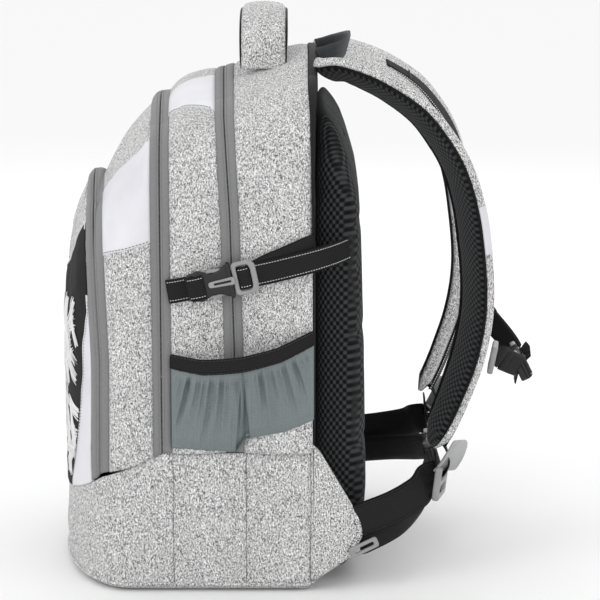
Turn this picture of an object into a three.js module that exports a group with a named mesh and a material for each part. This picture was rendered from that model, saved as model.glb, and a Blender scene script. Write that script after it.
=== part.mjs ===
// A padded daypack with three zipped compartments, side bottle pockets, compression straps and a harness.
// Millimetres, +Z up, the origin at the centre of the flat base, -Y the front, +Y the wearer's back.
import * as THREE from "three";

// ---- driving dimensions -------------------------------------------------------------------------------
const HALF_WIDTH = 150; // half the width of the bag
const BACK_Y = 108; // plane of the back panel
const FRONT_Y = -108; // foremost point of the front pocket
const FRONT_ROUND = 62; // depth over which the front rounds in to its middle
const CORNER = 62; // radius between the sides and the top
const SKIN = 4; // padded fabric wall
const GAP = 0.35; // space between pieces that touch
const CROWN = [
  [-108, 233], [-104, 277], [-94, 316], [-76, 340], [-46, 373],
  [-26, 396], [-4, 413], [38, 425], [88, 438], [108, 442],
]; // height of the top's middle along Y
const CROWN_DROP = 16; // how far the top falls from its middle to its corners
const TUB = [[-108, 66], [-70, 97], [-18, 121], [108, 121]]; // height of the base tub's top seam along Y
const ZIPS = {
  pocket: { y: -72, slider: 250 },
  middle: { y: -18, slider: 300 },
  main: { y: 38, slider: 352 },
}; // the line of each zip's teeth along Y, and the height where its slider is parked
const TAPE = 7; // width of one zip tape
const WEB = 25; // harness webbing
const SMALL_WEB = 20; // compression and sternum webbing
const WEB_THICK = 1.6;
const PAD_PATH = [
  [50, 121, 429], [58, 138, 428], [69, 167, 417], [80, 196, 398], [90, 216, 375], [96, 230, 350],
  [97, 239, 320], [97, 244, 288], [97, 247, 254], [97, 246, 224], [97, 240, 192], [97, 230, 162],
  [97, 219, 134], [97, 208, 112],
]; // middle of the near shoulder pad
const PAD_HALF = [30, 32, 32, 32, 32, 32, 32, 32, 31, 30, 29, 27, 24, 20];
const PAD_THICK = 11;
const PAD_ROLL = 0.27; // the pad's outer edge stands away from the bag by this angle
const LOWER_WEB = [[146, 150, 62], [134, 176, 69], [118, 197, 77], [105, 205, 84]];
const HIP_WEB = [[142, 153, 44], [120, 180, 52], [84, 199, 62], [50, 208, 72], [26.5, 212, 78]];
const STERNUM_CLIP = [97, 259, 190];
const STERNUM_WEB = [[79, 271, 184], [56, 281, 175], [38, 287, 169], [25, 290, 165]];
const DIVIDER_Y = [-10 + GAP, -7]; // the wall between the middle and the main compartment
const BACK_PANEL = 3.5; // thickness of the stiff panel behind the wearer's back
const BACK_LEVELS = [
  [2.5, 120, 136], [20, 128, 146], [77, 132, 150], [200, 132, 148], [302, 132, 145], [336, 130, 143],
  [370, 124, 134], [395, 108, 126], [412, 84, 114],
]; // the back cushion's height, half width and outermost Y
const FRAME_SHEET = [[-115, 20], [115, 20], [115, 330], [70, 392], [-70, 392], [-115, 330]];
const POCKET_FOOT = [126, 148]; // height of a side pocket's foot at its front and its rear end
const POCKET_RIM = [187, 208]; // height of its rim at the same ends
const POCKET_Y = [-9, 108];
const POCKET_BULGE = 17;
const HANDLE_Y = 67;
const HANDLE_LEGS = [[57, 442], [54, 462], [38, 476], [0, 480]]; // X and Z from its root to its middle
const HANDLE_HALF = 19;
const HANDLE_THICK = 6;
const HANG_LOOP = [[34, 120, 438], [34, 127, 446], [28, 134, 451], [0, 137, 453]];
const HANG_HALF = 11;
const STRAP_X = HALF_WIDTH + 2.2; // middle of a compression strap that lies on the side
const COMPRESSION_BUCKLE = [STRAP_X + 6.5, 33, 268];
const COMPRESSION_RUN = [0, 0.97, 0.21];
const LADDER_AT = [98, 219, 97];
const ANCHOR = [[112, 122], [149, 58], [140, 32], [113, 12]]; // Y and Z of the fabric wing at the strap's foot
const ANCHOR_X = [144, 148];
const STERNUM_BUCKLE = [1, 291, 163];
const HIP_BUCKLE = [1, 213, 80];
const FEMALE_LENGTH = 28;
const FEMALE_MOUTH = 6; // the female buckle's mouth, along the strap from the buckle's middle

// ---- materials ----------------------------------------------------------------------------------------
const LOOKS = {
  heather: [0xbebebc, 0.95],
  zip_tape: [0x7c7c7e, 0.85],
  ripstop: [0x80888a, 0.8],
  webbing: [0x1e1e20, 0.85],
  mesh: [0x24262a, 0.95],
  buckle: [0x8d8f93, 0.5],
  lining: [0x3a3d40, 0.9],
  slider_metal: [0x77787b, 0.35],
}; // colour and roughness of each material
const MATERIALS = {};
for (const [name, [color, roughness]] of Object.entries(LOOKS)) {
  const metalness = name === "slider_metal" ? 0.9 : 0;
  MATERIALS[name] = new THREE.MeshStandardMaterial({ color, roughness, metalness });
}
const bag = new THREE.Group();

function add(name, look, geometry) {
  const mesh = new THREE.Mesh(geometry, MATERIALS[look]);
  mesh.name = name;
  bag.add(mesh);
}

// ---- geometry helpers ---------------------------------------------------------------------------------
const V = (x, y, z) => new THREE.Vector3(x, y, z);
const points3 = (list) => list.map(([x, y, z]) => V(x, y, z));
const between = ([from, to], share) => from + (to - from) * share;

// The same piece on the bag's other side.
function flipped(geometry) {
  const from = geometry.getAttribute("position");
  const position = [];
  for (let i = 0; i < from.count; i += 3) {
    for (const k of [i, i + 2, i + 1]) position.push(-from.getX(k), from.getY(k), from.getZ(k));
  }
  return new THREE.BufferGeometry().setAttribute("position", new THREE.Float32BufferAttribute(position, 3));
}

function addPair(name, look, geometry) {
  add(`${name}_R`, look, geometry);
  add(`${name}_L`, look, flipped(geometry));
}

function along(table, at) {
  for (let i = 1; i < table.length; i++) {
    const [a, va] = table[i - 1];
    const [b, vb] = table[i];
    if (at <= b) return va + ((vb - va) * Math.max(0, at - a)) / (b - a);
  }
  return table[table.length - 1][1];
}

function solid(vertices, triangles) {
  const position = [];
  let volume = 0;
  const cross = V();
  for (const [a, b, c] of triangles) {
    cross.crossVectors(vertices[b], vertices[c]);
    volume += vertices[a].dot(cross);
  }
  for (const [a, b, c] of triangles) {
    const order = volume < 0 ? [a, c, b] : [a, b, c];
    for (const i of order) position.push(vertices[i].x, vertices[i].y, vertices[i].z);
  }
  return new THREE.BufferGeometry().setAttribute("position", new THREE.Float32BufferAttribute(position, 3));
}

// A closed solid through loops of equal length, its two ends closed by fans round their middles.
function loft(loops) {
  const n = loops[0].length;
  const vertices = loops.flat();
  const triangles = [];
  for (let k = 0; k + 1 < loops.length; k++) {
    for (let i = 0; i < n; i++) {
      const a = k * n + i;
      const b = k * n + ((i + 1) % n);
      triangles.push([a, b, b + n], [a, b + n, a + n]);
    }
  }
  for (const [loop, flip] of [[0, true], [loops.length - 1, false]]) {
    const middle = V(0, 0, 0);
    for (const p of loops[loop]) middle.addScaledVector(p, 1 / n);
    vertices.push(middle);
    for (let i = 0; i < n; i++) {
      const a = loop * n + i;
      const b = loop * n + ((i + 1) % n);
      triangles.push(flip ? [b, a, vertices.length - 1] : [a, b, vertices.length - 1]);
    }
  }
  return solid(vertices, triangles);
}

// A closed skin between two grids of points with the same rows and columns.
function skin(front, back) {
  const rows = front.length;
  const columns = front[0].length;
  const vertices = [...front.flat(), ...back.flat()];
  const half = rows * columns;
  const triangles = [];
  for (let r = 0; r + 1 < rows; r++) {
    for (let c = 0; c + 1 < columns; c++) {
      const a = r * columns + c;
      const d = a + columns;
      triangles.push([a, a + 1, d + 1], [a, d + 1, d]);
      triangles.push([a + half, d + 1 + half, a + 1 + half], [a + half, d + half, d + 1 + half]);
    }
  }
  const rim = [];
  for (let c = 0; c < columns - 1; c++) rim.push(c);
  for (let r = 0; r < rows - 1; r++) rim.push(r * columns + columns - 1);
  for (let c = columns - 1; c > 0; c--) rim.push((rows - 1) * columns + c);
  for (let r = rows - 1; r > 0; r--) rim.push(r * columns);
  rim.forEach((a, i) => {
    const b = rim[(i + 1) % rim.length];
    triangles.push([a, a + half, b + half], [a, b + half, b]);
  });
  return solid(vertices, triangles);
}

// A flat band along points: wide along `across(i)`, thick along the normal that this leaves.
function band(points, half, thick, across) {
  const loops = points.map((p, i) => {
    const before = points[Math.max(0, i - 1)];
    const after = points[Math.min(points.length - 1, i + 1)];
    const run = after.clone().sub(before).normalize();
    const wide = across(i, run).clone();
    wide.addScaledVector(run, -wide.dot(run)).normalize();
    const normal = run.clone().cross(wide);
    const w = Array.isArray(half) ? half[i] : half;
    return [[-w, -thick / 2], [w, -thick / 2], [w, thick / 2], [-w, thick / 2]].map(([u, v]) =>
      p.clone().addScaledVector(wide, u).addScaledVector(normal, v),
    );
  });
  return loft(loops);
}

function halfWidth(y) {
  const into = (FRONT_Y + FRONT_ROUND - y) / FRONT_ROUND;
  return into <= 0 ? HALF_WIDTH : HALF_WIDTH * Math.sqrt(Math.max(0.004, 1 - into * into));
}

// The bag's section at one Y, from its left foot over the top to its right foot.
function arch(y, inset, foot) {
  const w = halfWidth(y) - inset;
  const top = along(CROWN, y) - CROWN_DROP - inset;
  const r = Math.min(CORNER - inset, w * 0.8);
  const points = [V(-w, y, foot), V(-w, y, foot + (top - r - foot) / 2)];
  const steps = 6;
  for (let i = 0; i <= steps; i++) {
    const turn = (Math.PI / 2) * (i / steps);
    points.push(V(-w + r - r * Math.cos(turn), y, top - r + r * Math.sin(turn)));
  }
  for (const share of [0.66, 0.33]) {
    points.push(V(-(w - r) * share, y, top + CROWN_DROP * (1 - share * share)));
  }
  const right = points.map((p) => V(-p.x, p.y, p.z)).reverse();
  return [...points, V(0, y, top + CROWN_DROP), ...right];
}

// An arch-shaped wall over the bag between two places along Y.
function gusset(y0, y1, steps, outer = 0, inner = SKIN, lift = GAP) {
  const rows = [[], []];
  for (let k = 0; k <= steps; k++) {
    const y = y0 + ((y1 - y0) * k) / steps;
    const foot = along(TUB, y) + lift;
    rows[0].push(arch(y, outer, foot));
    rows[1].push(arch(y, inner, foot));
  }
  return skin(rows[0], rows[1]);
}

// A flat wall across the bag, inside its arch.
function divider(y0, y1, inset, foot) {
  const at = (y) => arch(Math.min(y0, y1), inset, foot).map((p) => V(p.x, y, p.z));
  return loft([at(y0), at(y1)]);
}

// A deep tray that opens towards the back, with its own floor: the front pocket and the middle section.
function tray(y0, y1, steps) {
  const outside = [];
  const inside = [];
  for (let k = 0; k <= steps; k++) {
    const y = y0 + (y1 - y0) * Math.sin(((k / steps) * Math.PI) / 2);
    outside.push(arch(y, 0, along(TUB, y) + GAP));
    const within = y0 + ((y1 + SKIN - y0) * k) / steps;
    inside.push(arch(within, SKIN, along(TUB, within) + GAP + SKIN));
  }
  return loft([...outside.reverse(), ...inside]);
}

function plan(inset, z) {
  const points = [];
  const steps = 16;
  for (let i = 0; i <= steps; i++) {
    const turn = Math.PI * (i / steps);
    const y = FRONT_Y + FRONT_ROUND - (FRONT_ROUND - inset) * Math.sin(turn);
    points.push(V((HALF_WIDTH - inset) * Math.cos(turn), y, z));
  }
  for (const y of [-18, 40, BACK_Y - inset]) points.push(V(-HALF_WIDTH + inset, y, z));
  for (const x of [-60, 60]) points.push(V(x, BACK_Y - inset, z));
  for (const y of [BACK_Y - inset, 40, -18]) points.push(V(HALF_WIDTH - inset, y, z));
  return points;
}

function tub() {
  const rim = (inset) => plan(inset, 0).map((p) => V(p.x, p.y, along(TUB, p.y)));
  return loft([plan(7, 0), plan(2, 3), plan(0, 9), rim(0), rim(SKIN), plan(SKIN + 2, SKIN + 3)]);
}

// An upright slab in the X-Z plane from an outline, between two places along Y.
function slab(outline, y0, y1) {
  return loft([y0, y1].map((y) => outline.map(([x, z]) => V(x, y, z))));
}

// A piece built flat (x along the strap, y across it, z outwards) and set down at a place on a strap.
function placed(geometry, at, run, out) {
  const x = run.clone().normalize();
  const z = out.clone().addScaledVector(x, -out.dot(x)).normalize();
  const frame = new THREE.Matrix4().makeBasis(x, z.clone().cross(x), z).setPosition(at);
  return geometry.applyMatrix4(frame);
}

function plate(outline, holes, thick) {
  const path = (points) => points.map(([x, y]) => new THREE.Vector2(x, y));
  const shape = new THREE.Shape(path(outline));
  shape.holes = holes.map((points) => new THREE.Path(path(points)));
  const made = new THREE.ExtrudeGeometry(shape, { depth: thick, bevelEnabled: false });
  return made.translate(0, 0, -thick / 2);
}

const rect = (x0, x1, y) => [[x0, -y], [x1, -y], [x1, y], [x0, y]];

// A female buckle body: a flat tube whose mouth faces +x.
function female(web) {
  const half = web / 2 + 4;
  const wall = 2;
  const tube = plate(rect(-5, 5, half), [rect(-3.1, 3.1, half - wall)], FEMALE_LENGTH);
  return tube.rotateY(Math.PI / 2).translate(FEMALE_MOUTH - FEMALE_LENGTH / 2, 0, 0);
}

// A male buckle: a frame round a window for the webbing, and three prongs that point to -x.
function male(web) {
  const half = web / 2 + 4;
  const prong = (s) => {
    const near = s * (half - 8);
    const far = s * (half - 3);
    return [[8, near], [-12, near], [-12, far], [8, far]];
  };
  const outline = [
    ...[[8, -half], [24, -half], [24, half], [8, half]],
    ...prong(1).reverse(),
    ...[[8, 3], [-10, 3], [-10, -3], [8, -3]],
    ...prong(-1),
  ];
  const window = rect(12, 18, web / 2);
  return plate(outline, [window], 4.4);
}

// ---- the bag ------------------------------------------------------------------------------------------
function bagBody() {
  add("base_tub", "heather", tub());
  const inner = arch(BACK_Y - 6, SKIN + 3 * GAP, along(TUB, BACK_Y) + GAP).map((p) => [p.x, p.z]);
  add("back_panel", "lining", slab(inner, BACK_Y - 1.5 - GAP - BACK_PANEL, BACK_Y - 1.5));
  add("rear_gusset", "heather", gusset(ZIPS.main.y + TAPE + GAP, BACK_Y - 0.5, 3));
  add("main_gusset", "heather", gusset(ZIPS.middle.y + TAPE + GAP, ZIPS.main.y - TAPE - GAP, 2));
  const floor = along(TUB, 0) + 4;
  add("main_divider", "lining", divider(...DIVIDER_Y, SKIN + GAP, floor));
  add("middle_section", "heather", tray(ZIPS.middle.y - TAPE - GAP, ZIPS.pocket.y + TAPE + 2 * GAP, 4));
  add("pocket_cover", "heather", tray(ZIPS.pocket.y - TAPE - GAP, FRONT_Y, 7));
}

function zips() {
  for (const [name, zip] of Object.entries(ZIPS)) {
    add(`${name}_zip_rear`, "zip_tape", gusset(zip.y + GAP / 2, zip.y + TAPE, 1, -1, 2, 3 * GAP));
    add(`${name}_zip_front`, "zip_tape", gusset(zip.y - TAPE, zip.y - GAP / 2, 1, -1, 2, 3 * GAP));
    const out = V(-1, 0, 0);
    const at = V(-halfWidth(zip.y + TAPE) - 4.2, zip.y, zip.slider);
    const body = plate([[-6, -3], [6, -4.5], [6, 4.5], [-6, 3]], [], 5);
    add(`${name}_slider`, "slider_metal", placed(body, at, V(0, 0, 1), out));
    const tab = plate(rect(0, 30, 3.2), [], 1.6);
    const hang = at.clone().add(V(-4, 0, -3));
    add(`${name}_puller`, "buckle", placed(tab, hang, V(-0.06, 0, -1), out));
  }
}

function sidePockets() {
  const stations = 8;
  const edge = (u, v, thick, lift) => {
    const foot = between(POCKET_FOOT, u);
    const rim = between(POCKET_RIM, u);
    const bulge = v < 0.05 ? 0 : 3 + POCKET_BULGE * Math.sin(Math.PI * u) * (0.35 + 0.65 * v);
    return V(HALF_WIDTH + 1.6 + bulge + thick, between(POCKET_Y, u), foot + (rim - foot) * v + lift);
  };
  const grid = (thick) => {
    const rows = [];
    for (let k = 0; k <= 4; k++) {
      rows.push([]);
      for (let i = 0; i <= stations; i++) rows[k].push(edge(i / stations, k / 4, thick, 0));
    }
    return rows;
  };
  addPair("side_pocket", "ripstop", skin(grid(0), grid(2)));
  const rim = [];
  for (let i = 0; i <= stations; i++) rim.push(edge(i / stations, 1, 1.4, 6 + 2 * GAP));
  addPair("pocket_binding", "webbing", band(rim, 6, 2.6, () => V(0, 0, 1)));
}

function backPad() {
  const loops = BACK_LEVELS.map(([z, w, y]) => {
    const near = BACK_Y + 2.5;
    const round = Math.min(14, (y - near) * 0.7);
    return [
      V(-w, near, z), V(w, near, z), V(w, y - round, z), V(w - round * 0.3, y - round * 0.3, z),
      V(w - round, y, z), V(0, y + 1, z), V(-w + round, y, z), V(-w + round * 0.3, y - round * 0.3, z),
      V(-w, y - round, z),
    ];
  });
  add("back_pad", "mesh", loft(loops));
  add("frame_sheet", "lining", slab(FRAME_SHEET, BACK_Y + GAP, BACK_Y + 2.1));
}

function topLoops() {
  const over = (half) => [...half.map((p) => V(-p.x, p.y, p.z)), ...half.slice(0, -1).reverse()];
  const legs = HANDLE_LEGS.map(([x, z]) => V(x, HANDLE_Y, z));
  add("grab_handle", "heather", band(over(legs), HANDLE_HALF, HANDLE_THICK, () => V(0, 1, 0)));
  add("hang_loop", "webbing", band(over(points3(HANG_LOOP)), HANG_HALF, 2, () => V(0, 0.35, 1)));
}

// ---- straps -------------------------------------------------------------------------------------------
function compressionStraps() {
  const x = STRAP_X;
  const run = V(...COMPRESSION_RUN).normalize();
  const buckle = V(...COMPRESSION_BUCKLE);
  addPair("compression_female", "buckle", placed(female(SMALL_WEB), buckle, run, V(1, 0, 0)));
  addPair("compression_male", "buckle", placed(male(SMALL_WEB), buckle, run, V(1, 0, 0)));
  const up = () => V(0, 0, 1);
  const end = buckle.clone().addScaledVector(run, FEMALE_MOUTH - FEMALE_LENGTH - 1);
  const front = [V(x, -9, 259), V(x + 3, 4, 262), end];
  addPair("compression_front_web", "webbing", band(front, SMALL_WEB / 2, WEB_THICK, up));
  const rear = [
    buckle.clone().addScaledVector(run, 25), V(x + 3, 80, 278), V(x + 1, 108, 284),
    V(x - 8, 124, 288), V(x - 17, 134, 290),
  ];
  addPair("compression_rear_web", "webbing", band(rear, SMALL_WEB / 2, 2.4, up));
}

// The direction across a shoulder pad: level, then rolled so that its outer edge stands away from the bag.
function acrossPad(run) {
  const inward = run.clone().cross(V(1, 0, 0)).normalize();
  return V(Math.cos(PAD_ROLL), 0, 0).addScaledVector(inward, -Math.sin(PAD_ROLL));
}

function shoulderStraps() {
  const path = points3(PAD_PATH);
  addPair("shoulder_pad", "mesh", band(path, PAD_HALF, PAD_THICK, (i, run) => acrossPad(run)));
  const lifted = [];
  for (let i = 2; i < path.length - 1; i++) {
    const run = path[i + 1].clone().sub(path[i - 1]).normalize();
    const inward = run.clone().cross(acrossPad(run)).normalize();
    lifted.push(path[i].clone().addScaledVector(inward, -PAD_THICK / 2 - 2.4));
  }
  addPair("shoulder_web", "webbing", band(lifted, WEB / 2, WEB_THICK, (i, run) => acrossPad(run)));
  const lock = plate(rect(0, 36, 17), [rect(5, 13, 13), rect(19, 26, 12.5)], 5);
  addPair("ladder_lock", "buckle", placed(lock, V(...LADDER_AT), V(0, -0.12, -1), V(0.25, 1, 0)));
  addPair("lower_web", "webbing", band(points3(LOWER_WEB), WEB / 2, 3, () => V(0, -0.45, 1)));
  const wing = loft(ANCHOR_X.map((x) => ANCHOR.map(([y, z]) => V(x, y, z))));
  addPair("strap_anchor", "heather", wing);
}

function sternumStrap() {
  const clip = plate(rect(-12, 12, 15), [], 5);
  addPair("sternum_clip", "buckle", placed(clip, V(...STERNUM_CLIP), V(0, -0.2, -1), V(0.1, 1, -0.2)));
  const web = band(points3(STERNUM_WEB), SMALL_WEB / 2, WEB_THICK, () => V(0, 0.5, 0.9));
  addPair("sternum_web", "webbing", web);
  const set = (piece) => placed(piece, V(...STERNUM_BUCKLE), V(-1, 0, 0), V(0, 1, 0.5));
  add("sternum_female", "buckle", set(female(SMALL_WEB)));
  add("sternum_male", "buckle", set(male(SMALL_WEB)));
}

function hipBelt() {
  addPair("hip_web", "webbing", band(points3(HIP_WEB), WEB / 2, WEB_THICK, () => V(0, -0.3, 1)));
  const set = (piece) => placed(piece, V(...HIP_BUCKLE), V(-1, 0, 0), V(0, 1, 0.3));
  add("hip_female", "buckle", set(female(WEB)));
  add("hip_male", "buckle", set(male(WEB)));
}

bagBody();
zips();
sidePockets();
backPad();
topLoops();
compressionStraps();
shoulderStraps();
sternumStrap();
hipBelt();

export default bag;
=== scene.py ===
import math

import bmesh
import bpy
import numpy as np
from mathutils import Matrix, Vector


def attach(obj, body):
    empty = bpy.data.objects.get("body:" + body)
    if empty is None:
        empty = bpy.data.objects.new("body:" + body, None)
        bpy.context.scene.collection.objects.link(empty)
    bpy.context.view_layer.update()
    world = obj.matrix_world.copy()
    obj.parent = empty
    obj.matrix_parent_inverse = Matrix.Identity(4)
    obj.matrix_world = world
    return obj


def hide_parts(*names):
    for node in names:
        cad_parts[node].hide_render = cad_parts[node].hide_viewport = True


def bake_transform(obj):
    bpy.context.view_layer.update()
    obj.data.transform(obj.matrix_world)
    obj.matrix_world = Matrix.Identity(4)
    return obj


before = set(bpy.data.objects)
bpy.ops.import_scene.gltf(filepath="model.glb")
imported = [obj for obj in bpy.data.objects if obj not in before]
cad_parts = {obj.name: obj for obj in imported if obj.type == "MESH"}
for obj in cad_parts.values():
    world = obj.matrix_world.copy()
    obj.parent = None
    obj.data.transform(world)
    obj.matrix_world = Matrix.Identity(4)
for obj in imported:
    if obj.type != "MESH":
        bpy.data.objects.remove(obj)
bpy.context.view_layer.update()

# ---- driving dimensions, in millimetres, the same as the CAD part's ------------------------------------
MM = 0.001
HALF_WIDTH = 150
BACK_Y = 108
FRONT_Y = -108
FRONT_ROUND = 62
CORNER = 62
SEWN_CROWN = np.array([  # the same line over the filled compartments, with a dip behind each zip
    (-108, 233), (-105.8, 260), (-102.8, 281), (-99.8, 297), (-96, 309), (-92, 318), (-88.7, 325),
    (-86.5, 330), (-82.4, 335), (-77, 334.5), (-73.6, 332), (-69, 338), (-62, 349), (-53, 363),
    (-44, 376), (-33, 390.5), (-30.4, 397), (-27.7, 400.5), (-23.3, 402.5), (-17, 402.5), (-14.5, 405),
    (-8.3, 410.5), (0.5, 415), (13.7, 419), (24, 422), (38, 426), (47, 428), (70.7, 434), (97, 442),
    (108, 443),
], float)
TUB = np.array([(-108, 66), (-70, 97), (-18, 121), (108, 121)], float)
CROWN_DROP = 16  # how far the top falls from its middle to its corners
ZIP_Y = {"pocket": -72, "middle": -18, "main": 38}
TAPE = 7
LAP = 1.4  # how far the side panels reach down behind the tub's seam
FRONT_LAP = 1.6  # the same for the front pocket
WEB = 25
SMALL_WEB = 20
WEB_THICK = 1.6
UP = (0, 0, 1)
SIDES = (("R", 1), ("L", -1))

# ---- camera, light and floor ---------------------------------------------------------------------------
CAMERA_ELEVATION = math.radians(12)
CAMERA_DISTANCE = 2.3
CAMERA_TARGET = Vector((0, 0.097, 0.219))
CAMERA_LENS = 156.4


def set_stage():
    scene = bpy.context.scene
    scene.view_settings.view_transform = "Standard"
    data = bpy.data.cameras.new("camera")
    data.lens = CAMERA_LENS
    camera = bpy.data.objects.new("camera", data)
    scene.collection.objects.link(camera)
    away = Vector((math.cos(CAMERA_ELEVATION), 0, math.sin(CAMERA_ELEVATION)))
    camera.location = CAMERA_TARGET + away * CAMERA_DISTANCE
    camera.rotation_euler = (-away).to_track_quat("-Z", "Y").to_euler()
    scene.camera = camera

    world = bpy.data.worlds.new("studio")
    world.use_nodes = True
    world.node_tree.nodes["Background"].inputs["Color"].default_value = (1, 1, 1, 1)
    world.node_tree.nodes["Background"].inputs["Strength"].default_value = 1.08
    scene.world = world

    lights = (
        ("key", (1.5, -1.3, 1.5), 1.2, 8),
        ("fill", (1.6, 1.5, 0.9), 1.4, 4),
        ("back", (-1.4, 0.3, 1.3), 1.2, 6),
    )
    for name, place, size, power in lights:
        light = bpy.data.lights.new(name, "AREA")
        light.size = size
        light.energy = power
        lamp = bpy.data.objects.new(name, light)
        lamp.location = place
        lamp.rotation_euler = (Vector(place) - CAMERA_TARGET).to_track_quat("Z", "Y").to_euler()
        scene.collection.objects.link(lamp)

    bm = bmesh.new()
    bmesh.ops.create_grid(bm, x_segments=2, y_segments=2, size=6)
    mesh = bpy.data.meshes.new("floor")
    bm.to_mesh(mesh)
    bm.free()
    floor = bpy.data.objects.new("floor", mesh)
    floor.location.z = -0.0005
    scene.collection.objects.link(floor)
    finish = bpy.data.materials.new("floor")
    finish.use_nodes = True
    shader = finish.node_tree.nodes["Principled BSDF"]
    shader.inputs["Base Color"].default_value = (0.86, 0.86, 0.86, 1)
    shader.inputs["Roughness"].default_value = 0.9
    mesh.materials.append(finish)


# ---- materials -----------------------------------------------------------------------------------------
class Material:
    """A node material: its shader, and short calls that add texture nodes to it."""

    def __init__(self, name, color, roughness, specular=0.3, sheen=0.0, metallic=0.0):
        self.data = bpy.data.materials.new(name)
        self.data.use_nodes = True
        self.tree = self.data.node_tree
        self.shader = self.tree.nodes["Principled BSDF"]
        self.shader.inputs["Base Color"].default_value = (*color, 1)
        self.shader.inputs["Roughness"].default_value = roughness
        self.shader.inputs["Specular IOR Level"].default_value = specular
        self.shader.inputs["Metallic"].default_value = metallic
        self.shader.inputs["Sheen Weight"].default_value = sheen
        self.shader.inputs["Sheen Roughness"].default_value = 0.5
        self.bumped = None

    def node(self, kind, links=None, **inputs):
        made = self.tree.nodes.new("ShaderNode" + kind)
        for key, value in inputs.items():
            if key in made.inputs:
                made.inputs[key].default_value = value
            else:
                setattr(made, key, value)
        for socket, source in (links or {}).items():
            self.tree.links.new(source, made.inputs[socket])
        return made

    def place(self, stretch=(1, 1, 1), uv=False):
        kind = self.node("UVMap", uv_map="weave") if uv else self.node("TexCoord")
        source = kind.outputs["UV" if uv else "Object"]
        mapping = self.node("Mapping", {"Vector": source})
        mapping.inputs["Scale"].default_value = stretch
        return mapping.outputs["Vector"]

    def noise(self, scale, detail=2.0, rough=0.6, **place):
        links = {"Vector": self.place(**place)}
        return self.node("TexNoise", links, Scale=scale, Detail=detail, Roughness=rough).outputs["Fac"]

    def wave(self, scale, direction="X", distortion=0.0, **place):
        made = self.node("TexWave", {"Vector": self.place(**place)}, Scale=scale, Distortion=distortion)
        made.bands_direction = direction
        return made.outputs["Fac"]

    def ramp(self, source, stops):
        made = self.node("ValToRGB", {"Fac": source})
        bar = made.color_ramp.elements
        while len(bar) < len(stops):
            bar.new(0.5)
        for element, (at, shade) in zip(bar, stops):
            element.position = at
            element.color = (*(shade if hasattr(shade, "__len__") else (shade,) * 3), 1)
        return made.outputs["Color"]

    def math(self, operation, a, b):
        made = self.node("Math", operation=operation)
        for socket, value in zip(made.inputs, (a, b)):
            if isinstance(value, (int, float)):
                socket.default_value = value
            else:
                self.tree.links.new(value, socket)
        return made.outputs["Value"]

    def mix(self, factor, a, b, blend="MIX"):
        made = self.node("Mix", data_type="RGBA", blend_type=blend)
        for socket, value in ((made.inputs["Factor"], factor), (made.inputs["A"], a), (made.inputs["B"], b)):
            target = socket
            if socket.name in "AB":
                target = [s for s in made.inputs if s.name == socket.name and s.type == "RGBA"][0]
            if isinstance(value, bpy.types.NodeSocket):
                self.tree.links.new(value, target)
            else:
                target.default_value = value
        return [s for s in made.outputs if s.type == "RGBA"][0]

    def color(self, source):
        self.tree.links.new(source, self.shader.inputs["Base Color"])

    def bump(self, source, strength, distance):
        links = {"Height": source}
        if self.bumped:
            links["Normal"] = self.bumped
        made = self.node("Bump", links, Strength=strength, Distance=distance)
        self.bumped = made.outputs["Normal"]
        self.tree.links.new(self.bumped, self.shader.inputs["Normal"])

    def roughness(self, source):
        self.tree.links.new(source, self.shader.inputs["Roughness"])


def shade(value, tint=(1, 1, 1)):
    return tuple(value * t for t in tint)


def heather():
    m = Material("heather", shade(0.5), 0.92, specular=0.15, sheen=0.08)
    yarn = m.noise(1500, detail=3, rough=0.85, stretch=(1, 1, 0.85))
    slub = m.noise(850, detail=2, rough=0.7, stretch=(1, 1.0, 0.55))
    both = m.math("ADD", m.math("MULTIPLY", yarn, 0.66), m.math("MULTIPLY", slub, 0.34))
    speckle = m.ramp(both, [
        (0.41, shade(0.015, (1, 1, 1.02))), (0.455, shade(0.10)), (0.49, shade(0.42)),
        (0.525, shade(0.70, (1, 1, 0.99))), (0.58, shade(0.92)),
    ])
    cloudy = m.ramp(m.noise(26, detail=3), [(0.35, shade(0.93)), (0.65, shade(1.0))])
    m.color(m.mix(1.0, speckle, cloudy, "MULTIPLY"))
    m.bump(both, 0.5, 0.0005)
    m.bump(m.noise(1700, detail=1), 0.25, 0.0003)
    return m.data


def zip_tape():
    m = Material("zip_tape", shade(0.2), 0.7, specular=0.25, sheen=0.1)
    rib = m.wave(900, "X", uv=True)
    twill = m.wave(420, "Y", uv=True)
    grain = m.noise(900, detail=2)
    tone = m.math("ADD", m.math("MULTIPLY", rib, 0.25), m.math("MULTIPLY", grain, 0.75))
    m.color(m.ramp(tone, [(0.25, shade(0.165)), (0.75, shade(0.245, (1, 1, 1.02)))]))
    m.bump(rib, 0.35, 0.0002)
    m.bump(twill, 0.2, 0.0002)
    return m.data


def ripstop():
    m = Material("ripstop", (0.18, 0.21, 0.22), 0.6, specular=0.3)
    cells = []
    for axis in "XY":
        line = m.wave(105, axis, uv=True)
        cells.append(m.ramp(line, [(0.86, shade(0)), (0.98, shade(1))]))
    grid = m.math("MAXIMUM", cells[0], cells[1])
    cloth = m.ramp(m.noise(1000, detail=2), [(0.3, (0.145, 0.172, 0.174)), (0.7, (0.195, 0.225, 0.227))])
    m.color(m.mix(m.math("MULTIPLY", grid, 0.22), cloth, (0.10, 0.125, 0.13, 1)))
    m.bump(grid, 0.3, 0.0002)
    m.bump(m.noise(120, detail=3, stretch=(1, 1, 0.4)), 0.35, 0.0012)
    return m.data


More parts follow.
